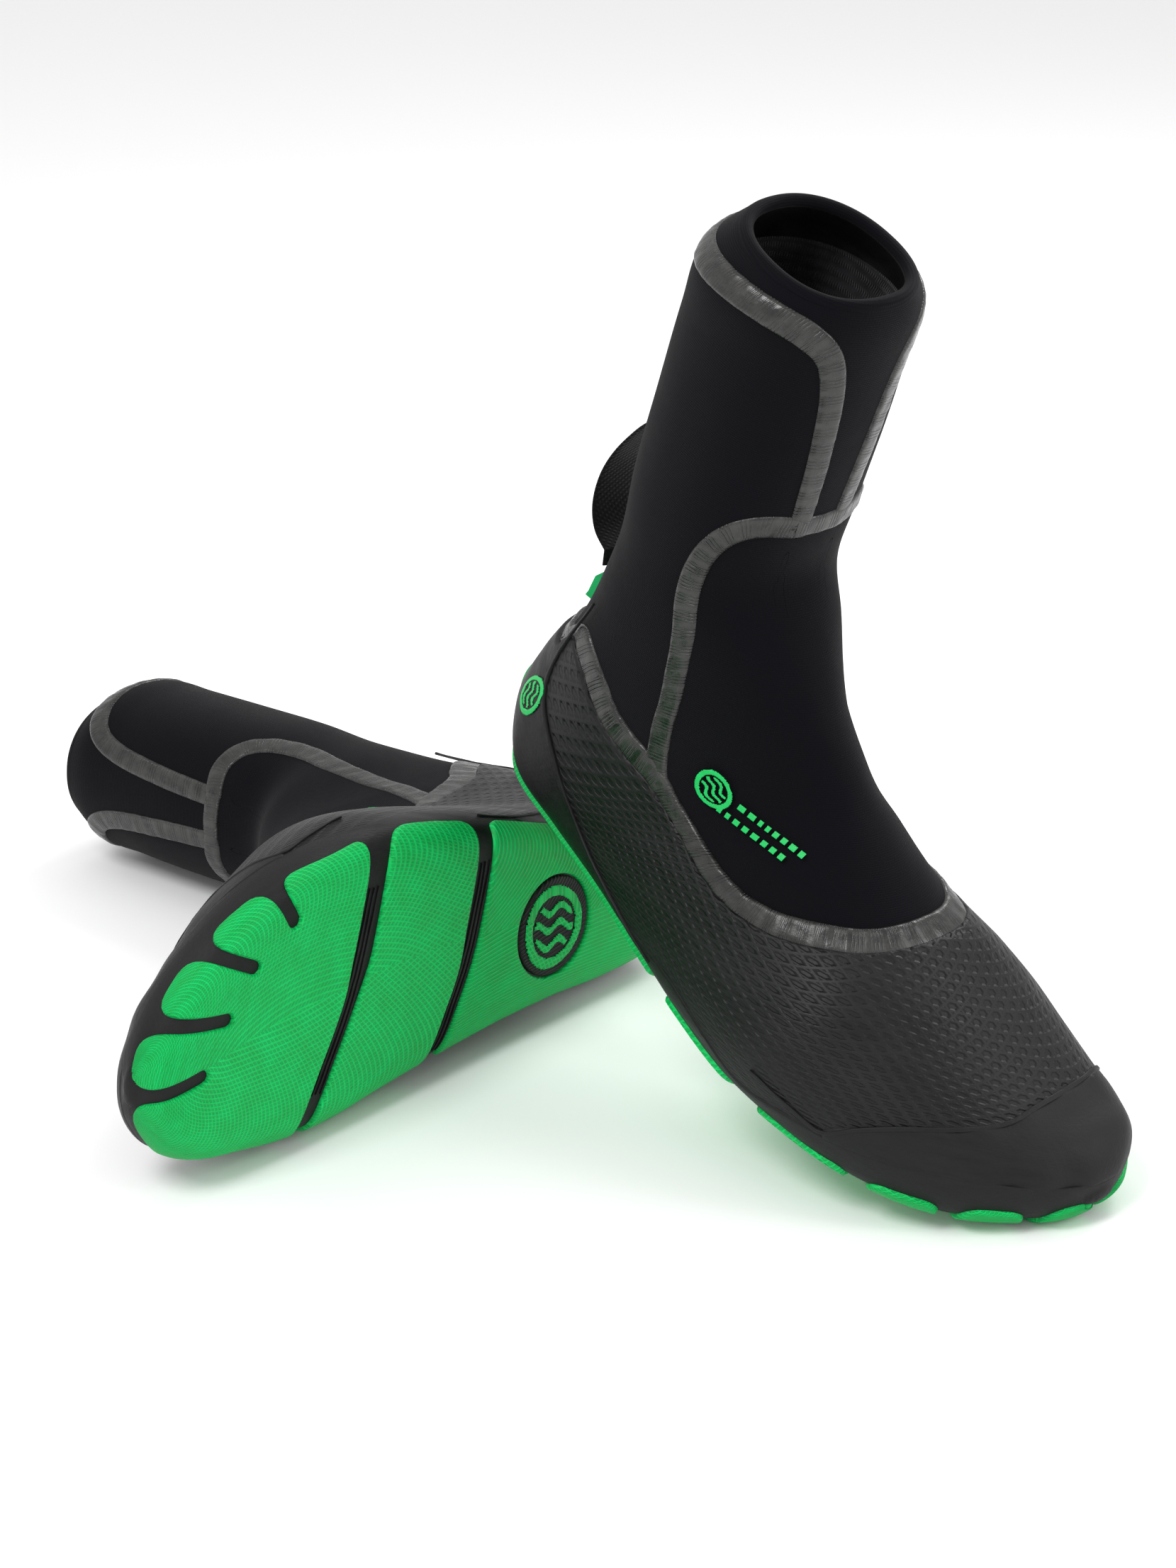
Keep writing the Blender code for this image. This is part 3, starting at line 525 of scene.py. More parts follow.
def woven(name, colours, pitches, angles, depth, rough, sheen):
    """Cloth: two crossed sets of threads."""
    made, place, waves = pattern_start(name, pitches, angles)
    nodes, links = made.node_tree.nodes, made.node_tree.links
    shader = nodes["Principled BSDF"]
    shader.inputs["Specular IOR Level"].default_value = 0.06
    shader.inputs["Sheen Weight"].default_value = sheen
    shader.inputs["Sheen Roughness"].default_value = 0.5
    ramp = add_variation(made, place, 24, 6, colours, rough)
    cross = nodes.new("ShaderNodeMath")
    cross.label, cross.location, cross.operation = "threads cross", (-700, 200), "MULTIPLY"
    links.new(waves[0].outputs["Fac"], cross.inputs[0])
    links.new(waves[1].outputs["Fac"], cross.inputs[1])
    # Painted shade: the colour is darkened between the threads, where the bump makes hollows.
    painted_shade = nodes.new("ShaderNodeMix")
    painted_shade.label, painted_shade.location, painted_shade.data_type = "painted shade in thread gaps", (300, 100), "RGBA"
    painted_shade.blend_type = "MULTIPLY"
    painted_shade.inputs["Factor"].default_value = 0.35
    links.new(ramp.outputs["Color"], painted_shade.inputs["A"])
    links.new(cross.outputs["Value"], painted_shade.inputs["B"])
    links.new(painted_shade.outputs["Result"], shader.inputs["Base Color"])
    bump = nodes.new("ShaderNodeBump")
    bump.label, bump.location = "thread depth", (300, -200)
    bump.inputs["Strength"].default_value = 0.8
    bump.inputs["Distance"].default_value = depth / 1000
    links.new(cross.outputs["Value"], bump.inputs["Height"])
    add_grain(made, place, 0.5, depth * 0.6, bump)
    return made


def moulded(name, colours, pitches, angles, depth, gloss, patch, grain, level=0.24):
    """Rubber: three sets of ridges pressed in, the highest one showing."""
    made, place, waves = pattern_start(name, pitches, angles)
    nodes, links = made.node_tree.nodes, made.node_tree.links
    shader = nodes["Principled BSDF"]
    shader.inputs["Specular IOR Level"].default_value = level
    ramp = add_variation(made, place, patch, 7, colours, gloss)
    first = nodes.new("ShaderNodeMath")
    first.label, first.location, first.operation = "higher of two", (-700, 250), "MAXIMUM"
    links.new(waves[0].outputs["Fac"], first.inputs[0])
    links.new(waves[1].outputs["Fac"], first.inputs[1])
    both = nodes.new("ShaderNodeMath")
    both.label, both.location, both.operation = "higher of all", (-500, 150), "MAXIMUM"
    links.new(first.outputs["Value"], both.inputs[0])
    links.new(waves[2].outputs["Fac"], both.inputs[1])
    edge = nodes.new("ShaderNodeMapRange")
    edge.label, edge.location = "ridge shape", (-300, 150)
    edge.interpolation_type = "SMOOTHSTEP"
    edge.inputs["From Min"].default_value = 0.35
    edge.inputs["From Max"].default_value = 1.0
    edge.inputs["To Min"].default_value = 0.0
    edge.inputs["To Max"].default_value = 1.0
    links.new(both.outputs["Value"], edge.inputs["Value"])
    # Painted shade: the ridge pattern darkens the colour in its hollows, more for deep patterns.
    painted_shade = nodes.new("ShaderNodeMix")
    painted_shade.label, painted_shade.location, painted_shade.data_type = "painted shade in hollows", (300, 100), "RGBA"
    painted_shade.blend_type = "MULTIPLY"
    painted_shade.inputs["Factor"].default_value = 0.3 if depth > 0.1 else 0.05
    links.new(ramp.outputs["Color"], painted_shade.inputs["A"])
    links.new(edge.outputs["Result"], painted_shade.inputs["B"])
    links.new(painted_shade.outputs["Result"], shader.inputs["Base Color"])
    bump = nodes.new("ShaderNodeBump")
    bump.label, bump.location = "ridge depth", (300, -200)
    bump.inputs["Strength"].default_value = 0.9
    bump.inputs["Distance"].default_value = depth / 1000
    links.new(edge.outputs["Result"], bump.inputs["Height"])
    add_grain(made, place, grain, 0.12, bump)
    return made


GREEN = ((0.0, 0.46, 0.085), (0.0, 0.56, 0.12))
DARK = ((0.004, 0.004, 0.0042), (0.009, 0.009, 0.0092))
SEAM = ((0.009, 0.0088, 0.0084), (0.034, 0.033, 0.031))
JERSEY = woven("jersey", ((0.0020, 0.0018, 0.0036), (0.0034, 0.003, 0.0055)), (0.55, 0.8),
               (0, 90), 0.10, (0.72, 0.88), 0.05)
KNIT = woven("knit", ((0.010, 0.010, 0.011), (0.05, 0.05, 0.055)), (1.1, 4.2), (0, 90), 0.5,
             (0.85, 0.95), 0.12)
WEBBING = woven("web", ((0.007, 0.007, 0.008), (0.014, 0.014, 0.015)), (1.4, 2.2), (38, -38),
                0.35, (0.6, 0.75), 0.08)
TAPE_RUBBER = moulded("tape", SEAM, (1.3, 1.3, 6.5), (0, 8, 0), 0.18, (0.16, 0.4), 7, 1.1,
                      0.5)
LATTICE = moulded("lattice", ((0.005, 0.005, 0.0052), (0.011, 0.011, 0.0112)),
                  (4.3, 4.3, 4.3), (0, 60, 120), 0.55, (0.38, 0.52), 22, 0.7)
SMOOTH_RUBBER = moulded("smooth", DARK, (3, 3, 3), (0, 50, 95), 0.03, (0.42, 0.6), 15, 0.6)
CUFF_RUBBER = moulded("cuff", ((0.006, 0.006, 0.0065), (0.012, 0.012, 0.013)), (1, 1, 1),
                      (0, 40, 90), 0.03, (0.35, 0.5), 12, 0.8)
HATCH = moulded("hatch", DARK, (1.5, 1.5, 1.5), (35, 35, 35), 0.5, (0.45, 0.6), 9, 0.6)
KNURL = moulded("knurl", GREEN, (1.9, 1.9, 1.9), (32, -32, -32), 0.32, (0.42, 0.55), 12, 0.7,
                0.22)
RIBBED = moulded("ribbed", GREEN, (1.6, 1.6, 1.6), (28, 28, 28), 0.32, (0.42, 0.55), 12, 0.7,
                 0.22)
INK = moulded("ink", GREEN, (0.8, 0.8, 0.8), (0, 60, 90), 0.06, (0.35, 0.5), 5, 0.5, 0.4)

# %% [markdown]
# ## Foam panels
#
# Four 3 mm foam panels make the leg and the instep: a collar panel that ends in a tongue
# at the front, one panel on each side, and the instep. Their seams are hidden under the
# tapes, so each panel is a layer inside its own closed outline.

# %% The panels
FOAM = (-4.6, -1.6)
FOAM_EDGE = 0.6
SHELL_HIDDEN = 6                  # mm that a foam panel runs on under the shell


def line_turns(line, steps=6):
    """A drawn line as (even turn, section) points."""
    curve = smooth_line(line, steps)
    return np.stack([even_turn(curve[:, 1], curve[:, 0]), curve[:, 1]], -1)


def line_scale(points):
    """Millimetres per degree and per section at points of a line."""
    turn, section = points[:, 0], points[:, 1]
    around = np.linalg.norm(form(section, turn + 2) - form(section, turn - 2), axis=-1) / 4
    low, high = np.maximum(section - 0.2, 0), np.minimum(section + 0.2, TOE)
    along = np.linalg.norm(form(high, turn) - form(low, turn), axis=-1) / (high - low)
    return np.stack([around, along], -1)


COLLAR_CURVE, ANKLE_CURVE = line_turns(COLLAR_LINE), line_turns(ANKLE_LINE)


def side_of_line(section, turn, curve):
    """Distance from an open line in mm, in a plane scaled to the middle of the leg."""
    scale = np.array([0.85, 26.0])
    points = np.stack([np.abs(turn), section], -1).reshape(-1, 1, 2) * scale
    a, b = curve[:-1] * scale, curve[1:] * scale
    along = b - a
    f = np.clip(((points - a) * along).sum(-1) / (along ** 2).sum(-1), 0, 1)
    gap = points - a - along * f[..., None]
    near = np.argmin((gap ** 2).sum(-1), axis=1)
    row = np.arange(len(near))
    gap, along = gap[row, near], along[near]
    sign = np.sign(along[:, 0] * gap[:, 1] - along[:, 1] * gap[:, 0])
    return (sign * np.linalg.norm(gap, axis=-1)).reshape(section.shape)

SEAM_CURVE = np.concatenate([COLLAR_CURVE, ANKLE_CURVE[1:]])
LEG_SCALE = 26.0                  # mm per section on the leg
TONGUE_END = 3.95


def to_back_line(turn):
    """Below zero on the outer side of the line down the back, in mm."""
    return np.where(turn > 0, turn - 180, turn + 180) * 0.85


def side_panel_value(section, turn, place, outer):
    back = to_back_line(turn) * (1 if outer else -1) + 0.15
    return np.maximum(np.maximum(side_of_line(section, turn, SEAM_CURVE), back),
                      -shell_top(section, turn, place) - SHELL_HIDDEN)


def wrinkles(u, v, size, seed, waves=7):
    """Soft uneven waves, the same each run, between about -1 and 1."""
    draw = np.random.default_rng(seed)
    total = np.zeros(np.shape(u))
    for _ in range(waves):
        angle, phase, scale = draw.uniform(0, math.pi), draw.uniform(0, 6), draw.uniform(.6, 2)
        total += np.sin((u * math.cos(angle) + v * math.sin(angle)) * math.tau
                        / (size * scale) + phase)
    return total / math.sqrt(waves * 2)


def soft_folds(section, turn, place, depth):
    """The foam's slight unevenness, strongest where the ankle bends."""
    bend = np.exp(-((section - 6.5) / 2.0) ** 2)
    around = np.sin(np.radians(turn)) * 40
    return (0.10 + 0.35 * bend) * wrinkles(place[..., 2] + 0.3 * around, around, 34, 21)


def build_panels():
    section, turn = grid(0, 14.6)
    place = form(section, turn)
    front = -side_of_line(section, turn, SEAM_CURVE)
    covered = -shell_top(section, turn, place) - SHELL_HIDDEN
    values = {
        "collar_panel": np.maximum(front, (section - TONGUE_END) * LEG_SCALE),
        "instep_panel": np.maximum(np.maximum(front, (TONGUE_END - section) * LEG_SCALE),
                                   covered),
        "side_panel_outer": side_panel_value(section, turn, place, True),
        "side_panel_inner": side_panel_value(section, turn, place, False)}
    for name, value in values.items():
        mesh = layer_mesh(name, section, turn, value, *FOAM, FOAM_EDGE, soft_folds)
        put_on_boots(name, mesh, JERSEY)


build_panels()

# %% [markdown]
# The rim is the collar panel folded over inwards, so its edge is a soft half round. It is
# swept round the top section. The smooth rubber seal inside it carries on downwards, and
# the knit lining starts under the seal.

# %% Rim, seal and lining
RIM_RADIUS = 2.3
SEAL_DEPTH = 21
KNIT_RIB = 0.35
INSIDE = FOAM[1] - 2 * RIM_RADIUS
RIM_STEPS = 9


def ring_faces(rows, columns, closed=True):
    faces = grid_faces(rows, columns)
    if closed:
        return faces.tolist()
    return faces.reshape(rows - 1, columns, 4)[:, :-1].reshape(-1, 4).tolist()


def build_rim():
    turns = GRID_TURNS
    up = form(0, turns) - form(0.1, turns)
    up /= np.linalg.norm(up, axis=-1, keepdims=True)
    out = outward(0, turns)
    rows = [on_form(0.16, turns, np.full(turns.shape, FOAM[1] + 0.04))]
    middle = form(0, turns) + out * (FOAM[1] - RIM_RADIUS)
    for step in range(RIM_STEPS + 1):
        angle = math.pi * step / RIM_STEPS
        reach = RIM_RADIUS + 0.05
        rows.append(middle + out * reach * math.cos(angle) + up * reach * math.sin(angle))
    places = np.array(rows)[::-1]
    faces = ring_faces(len(rows), len(turns))
    s = np.repeat(np.arange(len(rows)), len(turns)) * 0.05
    mesh = make_mesh("collar_rim", places.reshape(-1, 3), faces,
                     corner_uvs(s, np.tile(turns, len(rows)), faces))
    put_on_boots("collar_rim", mesh, JERSEY, nodes=[])


def mean_along(section):
    return np.interp(section, TABLE_ROWS, MEAN_ALONG)


def inner_skin(name, first, last, distance, finish, relief=0.0):
    section, turn = grid(first, last, 1.0 if relief else 2.5)
    height = distance + relief * np.sin(mean_along(section) * math.tau / 4.2)
    places = on_form(section, turn, height)
    faces = [face[::-1] for face in ring_faces(*section.shape)]
    mesh = make_mesh(name, places.reshape(-1, 3), faces,
                     corner_uvs(section.ravel(), turn.ravel(), faces))
    put_on_boots(name, mesh, finish)


seal_end = float(np.interp(SEAL_DEPTH, MEAN_ALONG, TABLE_ROWS))
build_rim()
inner_skin("cuff_seal", 0, seal_end, INSIDE, CUFF_RUBBER)
inner_skin("lining", seal_end - 0.1, 20, INSIDE - 0.7, KNIT, KNIT_RIB)

# %% [markdown]
# ## Seam tapes
#
# Liquid-rubber tape is pressed over each seam. It is a ribbon that follows the seam line:
# rows of corners across it, flat in the middle, thin at the edges, with shallow wrinkles
# where the foam below it shrank.

# %% Ribbons on the foot shape
RIBBON_STEP = 1.2
RIBBON_ACROSS = np.array([-1, -.97, -.88, -.7, -.45, -.2, 0, .2, .45, .7, .88, .97, 1])


def even_line(points, step, closed=False):
    """Points at even spacing in mm along a (turn, section) line."""
    points = np.asarray(points, float)
    if closed:
        points = np.concatenate([points, points[:1] + [[360, 0]]])
    place = form(points[:, 1], points[:, 0])
    length = np.concatenate([[0], np.cumsum(np.linalg.norm(np.diff(place, axis=0), axis=1))])
    count = max(4, round(length[-1] / step))
    at = np.linspace(0, length[-1], count + 1)
    line = np.stack([np.interp(at, length, points[:, k]) for k in (0, 1)], -1)
    return (line[:-1], at[:-1]) if closed else (line, at)


def ribbon_mesh(name, points, width, low, high, relief, closed=False):
    """A tape along a line; width is in mm at each share of its length."""
    line, at = even_line(points, RIBBON_STEP, closed)
    if closed:
        around = np.concatenate([line[-1:] - [[360, 0]], line, line[:1] + [[360, 0]]])
        heading = around[2:] - around[:-2]
    else:
        heading = np.gradient(line, axis=0)
    scale = line_scale(line)
    heading = heading * scale
    heading /= np.linalg.norm(heading, axis=1, keepdims=True)
    half = np.interp(at / at[-1], np.linspace(0, 1, len(width)), width) / 2
    reach = half[:, None] * RIBBON_ACROSS
    turn = line[:, :1] - heading[:, 1:] * reach / scale[:, :1]
    section = line[:, 1:] + heading[:, :1] * reach / scale[:, 1:]
    rise = np.sqrt(1 - np.abs(RIBBON_ACROSS) ** 8)
    along = np.repeat(at[:, None], len(RIBBON_ACROSS), 1)
    height = low + (high - low + relief(along, reach)) * rise
    rows, columns = turn.shape
    top = on_form(section, turn, height).reshape(-1, 3)
    bottom = on_form(section, turn, np.full(turn.shape, low)).reshape(-1, 3)
    index = np.arange(rows * columns).reshape(rows, columns)
    follow = np.roll(index, -1, 0) if closed else index[1:]
    here = index if closed else index[:-1]
    quads = np.stack([here[:, :-1], follow[:, :-1], follow[:, 1:], here[:, 1:]], -1)
    faces = quads.reshape(-1, 4)
    under = index + rows * columns
    under[:, 0], under[:, -1] = index[:, 0], index[:, -1]
    back = under.ravel()[faces][:, ::-1].tolist()
    faces = faces.tolist()
    if not closed:
        for row, turned in ((0, 1), (-1, -1)):
            loop = list(index[row]) + list(under[row, 1:-1][::-1])
            faces.append([int(i) for i in loop[::turned]])
    places = np.concatenate([top, bottom])
    u = np.tile(along.ravel(), 2)
    v = np.tile(reach.ravel(), 2)
    uvs = []
    for face in faces + back:
        length = u[face]
        if closed and length.max() - length.min() > at[-1] / 2:
            length = np.where(length < at[-1] / 2, length + at[-1] + RIBBON_STEP, length)
        uvs.append(np.stack([length, v[face]], -1))
    return make_mesh(name, places, faces + back, np.concatenate(uvs) * MM)


TAPE = (-2.2, -0.75)


def tape_relief(seed, depth=0.16):
    def relief(along, across):
        return depth * wrinkles(along, across * 0.6, 5.0, seed) + 0.05 * wrinkles(
            along, across, 1.6, seed + 50)
    return relief


def build_tapes():
    opposite = np.array([-1, 1])
    collar = COLLAR_CURVE.copy()
    ankle = ANKLE_CURVE
    for side, flip in (("outer", np.array([1, 1])), ("inner", opposite)):
        mesh = ribbon_mesh("collar_tape_" + side, collar * flip, [13, 11, 9.5, 9], *TAPE,
                           tape_relief(3 if side == "outer" else 5))
        put_on_boots("collar_tape_" + side, mesh, TAPE_RUBBER)
        mesh = ribbon_mesh("ankle_tape_" + side, ankle * flip, [9, 10, 10], TAPE[0],
                           TAPE[1] + 0.05, tape_relief(7 if side == "outer" else 9))
        put_on_boots("ankle_tape_" + side, mesh, TAPE_RUBBER)
    cross = [(turn, TONGUE_END) for turn in np.linspace(-17, 17, 9)]
    mesh = ribbon_mesh("cross_tape", cross, [8.5, 8, 8.5], TAPE[0], TAPE[1] + 0.12,
                       tape_relief(11))
    put_on_boots("cross_tape", mesh, TAPE_RUBBER)


build_tapes()


# %% The tape along the shell's top
def shell_top_line():
    """Where the shell's top edge crosses each turn, as (turn, section) points."""
    sections = np.arange(4, 20, 0.02)
    line = []
    for turn in np.arange(-180, 180, 2.0):
        over = shell_top(sections, turn, form(sections, np.full(sections.shape, turn)))
        k = int(np.argmax(over < 0))
        line.append((turn, sections[k - 1] + 0.02 * over[k - 1] / (over[k - 1] - over[k])))
    return np.array(line)


TOP_EDGE = shell_top_line()
EDGE_RISE = 3.6                   # mm from the shell's edge to the middle of its tape


def edge_line(rise):
    scale = line_scale(TOP_EDGE)
    heading = (np.roll(TOP_EDGE, -1, 0) - np.roll(TOP_EDGE, 1, 0)) * scale
    heading[0, 0] += 360 * scale[0, 0]
    heading[-1, 0] += 360 * scale[-1, 0]
    heading /= np.linalg.norm(heading, axis=1, keepdims=True)
    return TOP_EDGE + np.stack([heading[:, 1], -heading[:, 0]], -1) * rise / scale


edge = ribbon_mesh("edge_tape", edge_line(EDGE_RISE), [8, 10, 10.5, 10, 8], -2.2, -0.35,
                   tape_relief(13, 0.22), closed=True)
put_on_boots("edge_tape", edge, TAPE_RUBBER)

# %% [markdown]
# ## The shell
#
# The shell is moulded rubber in four areas: the vamp with its lattice, a toe cap, a heel
# counter, and the outsole. On the real boot their borders are shallow steps and ribs, so
# each area is its own layer with its own height, and ribs are added as relief.

# %% Vamp, toe cap, heel counter and outsole
SHELL = (-1.5, 0.2)
GUARD = (-1.4, 0.75)
OUTSOLE = (-1.2, 0.6)


def in_front_of_cap(place):
    return height_at(swapped(CAP_LINE), place[..., 1]) - place[..., 0]


def ahead_of_counter(place):
    return place[..., 0] - height_at(swapped(COUNTER_LINE), place[..., 2])


def above_outsole(place):
    return place[..., 2] - height_at(OUTSOLE_TOP, place[..., 0])


TOE_DENTS = [(262, -31), (275, -13), (284, 6)]      # x, y where the toes part


def toe_relief(section, turn, place, depth):
    """The toes show through the cap as low swellings with dents between them."""
    x, y, z = np.moveaxis(place, -1, 0)
    height = np.zeros(x.shape)
    for at_x, at_y in TOE_DENTS:
        away = np.hypot((x - at_x) * 0.55, y - at_y)
        height -= 1.3 * np.exp(-(away / 5.5) ** 2) * np.clip((40 - z) / 14, 0, 1)
    wave = 0.35 * np.sin(y * math.tau / 17) * np.exp(-((x - 252) / 9) ** 2)
    return height + wave


def build_shell():
    section, turn = grid(4, TIP)
    place = form(section, turn)
    under_top = shell_top(section, turn, place)
    sole = above_outsole(place)
    areas = {
        "vamp": (np.maximum(np.maximum(under_top, -sole - 3),
                            np.maximum(-in_front_of_cap(place) - 3,
                                       -ahead_of_counter(place) - 3)), SHELL, 1.2, LATTICE),
        "toe_cap": (np.maximum(in_front_of_cap(place), -sole - 2), GUARD, 1.4,
                    SMOOTH_RUBBER),
        "heel_counter": (np.maximum(np.maximum(ahead_of_counter(place), under_top + 0.5),
                                    -sole - 2), GUARD, 1.4, SMOOTH_RUBBER),
        "outsole": (sole, OUTSOLE, 1.4, SMOOTH_RUBBER)}
    for name, (value, layer, rolled, finish) in areas.items():
        relief = toe_relief if name == "toe_cap" else None
        mesh = layer_mesh(name, section, turn, value, *layer, rolled, relief)
        put_on_boots(name, mesh, finish)


build_shell()

# %% [markdown]
# ## The tread
#
# Three green pads are parted by two slanting flex grooves, and the front pad is split
# into five toes. The outline is a rounded intersection of simple limits, drawn as seen
# from above. Rounding it with a large blend gives the toes their finger-like ends.

# %% Pads
TREAD = (-0.6, 2.25)
TREAD_EDGE = 0.9
OUTER_TOPS = [(60, 9), (150, 10), (190, 9), (215, 8.5), (250, 12), (268, 15), (280, 17),
              (290, 19)]          # x, and z of the toe and middle pads' outer edge
INNER_TOP = 19
HEEL_TOP = 12.5


def beside_groove(place, line):
    """Millimetres ahead of a groove's middle line."""
    return place[..., 0] - height_at(swapped(line), place[..., 1])


def pad_top(place):
    """How high the toe and middle pads wrap: low outside, higher at the big toe."""
    share = np.clip((place[..., 1] + 12) / 36, 0, 1)
    outer = height_at(OUTER_TOPS, place[..., 0])
    return outer + (INNER_TOP - outer) * share * share * (3 - 2 * share)


def slit_value(place):
    """Above zero inside the gaps between the toes."""
    value = np.full(place.shape[:-1], -99.0)
    for start, end in TOE_SLITS:
        start, end = np.array(start, float), np.array(end, float)
        along = end - start
        f = np.clip(((place[..., :2] - start) @ along) / (along @ along), 0, 1.5)
        gap = np.linalg.norm(place[..., :2] - start - along * f[..., None], axis=-1)
        value = np.maximum(value, TOE_SLIT_WIDTH / 2 - gap)
    return value


def heel_top(place):
    """The heel pad's upper edge: low along the sides, with a tongue up the back."""
    x, y, z = np.moveaxis(place, -1, 0)
    wrap = z - (HEEL_TOP - np.clip((x - 20) / 60, 0, 1) * 1.5)
    tongue = smooth_max(np.abs(y) - 15, z - 46, 8)
    tongue = np.maximum(tongue, x - 30)
    return -smooth_max(-wrap, -tongue, 10)


def build_tread():
    section, turn = grid(6, TIP, 1.5)
    place = form(section, turn)
    front, rear = beside_groove(place, FRONT_GROOVE), beside_groove(place, REAR_GROOVE)
    half = GROOVE_WIDTH / 2
    x, y, z = np.moveaxis(place, -1, 0)
    toes = smooth_max(smooth_max(half - front, z - pad_top(place), 8), slit_value(place), 8)
    middle = smooth_max(smooth_max(front + half, half - rear, 2), z - pad_top(place), 12)
    hole = WINDOW[2] - np.hypot(x - WINDOW[0], y - WINDOW[1])
    hole = np.where(z < 30, hole, -50)
    heel = np.maximum(smooth_max(rear + half, heel_top(place), 5), hole)
    for name, value, finish in (("forefoot_pad", toes, KNURL), ("midfoot_pad", middle, KNURL),
                                ("heel_pad", heel, RIBBED)):
        mesh = layer_mesh(name, section, turn, value, *TREAD, TREAD_EDGE)
        put_on_boots(name, mesh, finish)
    mesh = layer_mesh("sole_window", section, turn, -hole + 0.3, TREAD[0], TREAD[1] - 0.5,
                      TREAD_EDGE)
    put_on_boots("sole_window", mesh, HATCH)


build_tread()

# %% [markdown]
# ## Ribs and lips
#
# Narrow raised lines are part of the moulded shell: the lip round the toe cap, the rib at
# the front of the heel counter, and the long ridges that let the sole fold along its two
# grooves. Each is a thin ribbon laid on the foot shape, found by searching the shape for
# the points under the line.

# %% Ribs and lips
SEARCH_SECTION, SEARCH_TURN = np.meshgrid(np.arange(4, TIP, 0.02), np.arange(-180, 180, 0.5),
                                          indexing="ij")
SEARCH_PLACE = form(SEARCH_SECTION, SEARCH_TURN)
UNDERSIDE = ((SEARCH_PLACE[..., 2] < 12) & (np.abs(SEARCH_TURN) > 95)
             & (SEARCH_SECTION > 8))
ABOVE_SOLE = 14                   # z from which the lip and the ribs are searched for
RIDGES = (-2.1, 0, 2.1)           # from a groove's middle line to each of its ridges
RIDGE_REACH = 36                  # how far the ridges run to each side
RIDGE = (1.1, 0.3, 1.25)          # width, height at the edge, height in the middle
CAP_LIP = (2.2, 0.3, 1.05)
CAP_LIP_AHEAD = 0.7
COUNTER_RIB = (2.4, 0.3, 1.3)
RIB_SEED = 31


def seat(points, axes, allowed):
    """(turn, section) under each point, which gives two of x, y and z."""
    places = SEARCH_PLACE[allowed][:, axes]
    found = []
    for point in np.asarray(points, float):
        k = int(((places - point) ** 2).sum(-1).argmin())
        found.append((SEARCH_TURN[allowed][k], SEARCH_SECTION[allowed][k]))
    found = np.array(found)
    found[:, 0] = np.degrees(np.unwrap(np.radians(found[:, 0])))
    for _ in range(3):
        found[1:-1] = (found[:-2] + 2 * found[1:-1] + found[2:]) / 4
    return found


def even_points(line, step):
    points = np.asarray(line, float)
    length = np.concatenate([[0], np.cumsum(np.linalg.norm(np.diff(points, axis=0), axis=1))])
    at = np.arange(0, length[-1], step)
    return np.stack([np.interp(at, length, points[:, k]) for k in (0, 1)], -1)


def rib(name, line, width, low, high):
    mesh = ribbon_mesh(name, line, [width * 0.4, width, width, width * 0.4], low, high,
                       tape_relief(RIB_SEED, 0.05))
    put_on_boots(name, mesh, SMOOTH_RUBBER, nodes=[])


def build_ribs():
    y, z = np.moveaxis(SEARCH_PLACE[..., 1:], -1, 0)
    for number, groove in enumerate((FRONT_GROOVE, REAR_GROOVE)):
        middle = even_points(smooth_line(groove), 4)
        for count, shift in enumerate(RIDGES):
            line = middle[1:-1] + [shift, 0]
            keep = np.abs(line[:, 1]) < RIDGE_REACH
            rib("groove_ridge_%d_%d" % (number, count),
                seat(line[keep], [0, 1], UNDERSIDE), *RIDGE)
    top = z > ABOVE_SOLE
    cap = even_points(smooth_line(CAP_LINE), 3) + [[CAP_LIP_AHEAD, 0]]
    rib("cap_lip", seat(cap, [0, 1], top), *CAP_LIP)
    counter = even_points(smooth_line(COUNTER_LINE), 3)
    for side, half in (("outer", y < -5), ("inner", y > 5)):
        rib("counter_rib_" + side, seat(counter, [0, 2], half & top), *COUNTER_RIB)


build_ribs()

# %% [markdown]
# ## Badge and print
#
# A round badge sits on the side of the heel, and the print on the instep is a thin film
# of ink. The marks are plain ones: a ring round three waves, and two rows of bars. The
# green strip up the back of the ankle has no piece here: the CAD piece is shown.

# %% Badge and print
BADGE = (124, 7.75, 9.5)          # degrees round, section, radius in mm
BADGE_BASE = (0.4, 1.1)           # height of a film's underside and top
BADGE_FACE = (1.1, 1.45)
WINDOW_FACE = (1.6, 2.2)
WINDOW_MARK_SHARE = 0.8           # the mark's radius as a share of the window's
PRINT_MARK = (53, 9.2, 7.2)
PRINT_FILM = (0.02, 0.3)


def ring_and_waves(u, v, radius):
    """Below zero on a ring and on the three waves inside it; u, v and radius in mm."""
    away = np.hypot(u, v)
    ring = np.abs(away - radius * 0.88) - radius * 0.12
    wave = v - radius * 0.1 * np.sin(u * math.tau / (radius * 0.8))
    lines = np.abs((wave / (radius * 0.42) + 0.5) % 1 - 0.5) * radius * 0.42 - radius * 0.09
    return np.minimum(ring, np.maximum(lines, away - radius * 0.68))


def flat_patch(turn, section, reach, step):
    """An even square grid on the form round one point, with its coordinates in mm."""
    u, v = np.meshgrid(np.arange(-reach, reach, step), np.arange(-reach, reach, step),
                       indexing="ij")
    scale = line_scale(np.array([[turn, section]]))[0]
    return section + u / scale[1], turn + v / scale[0], u, v


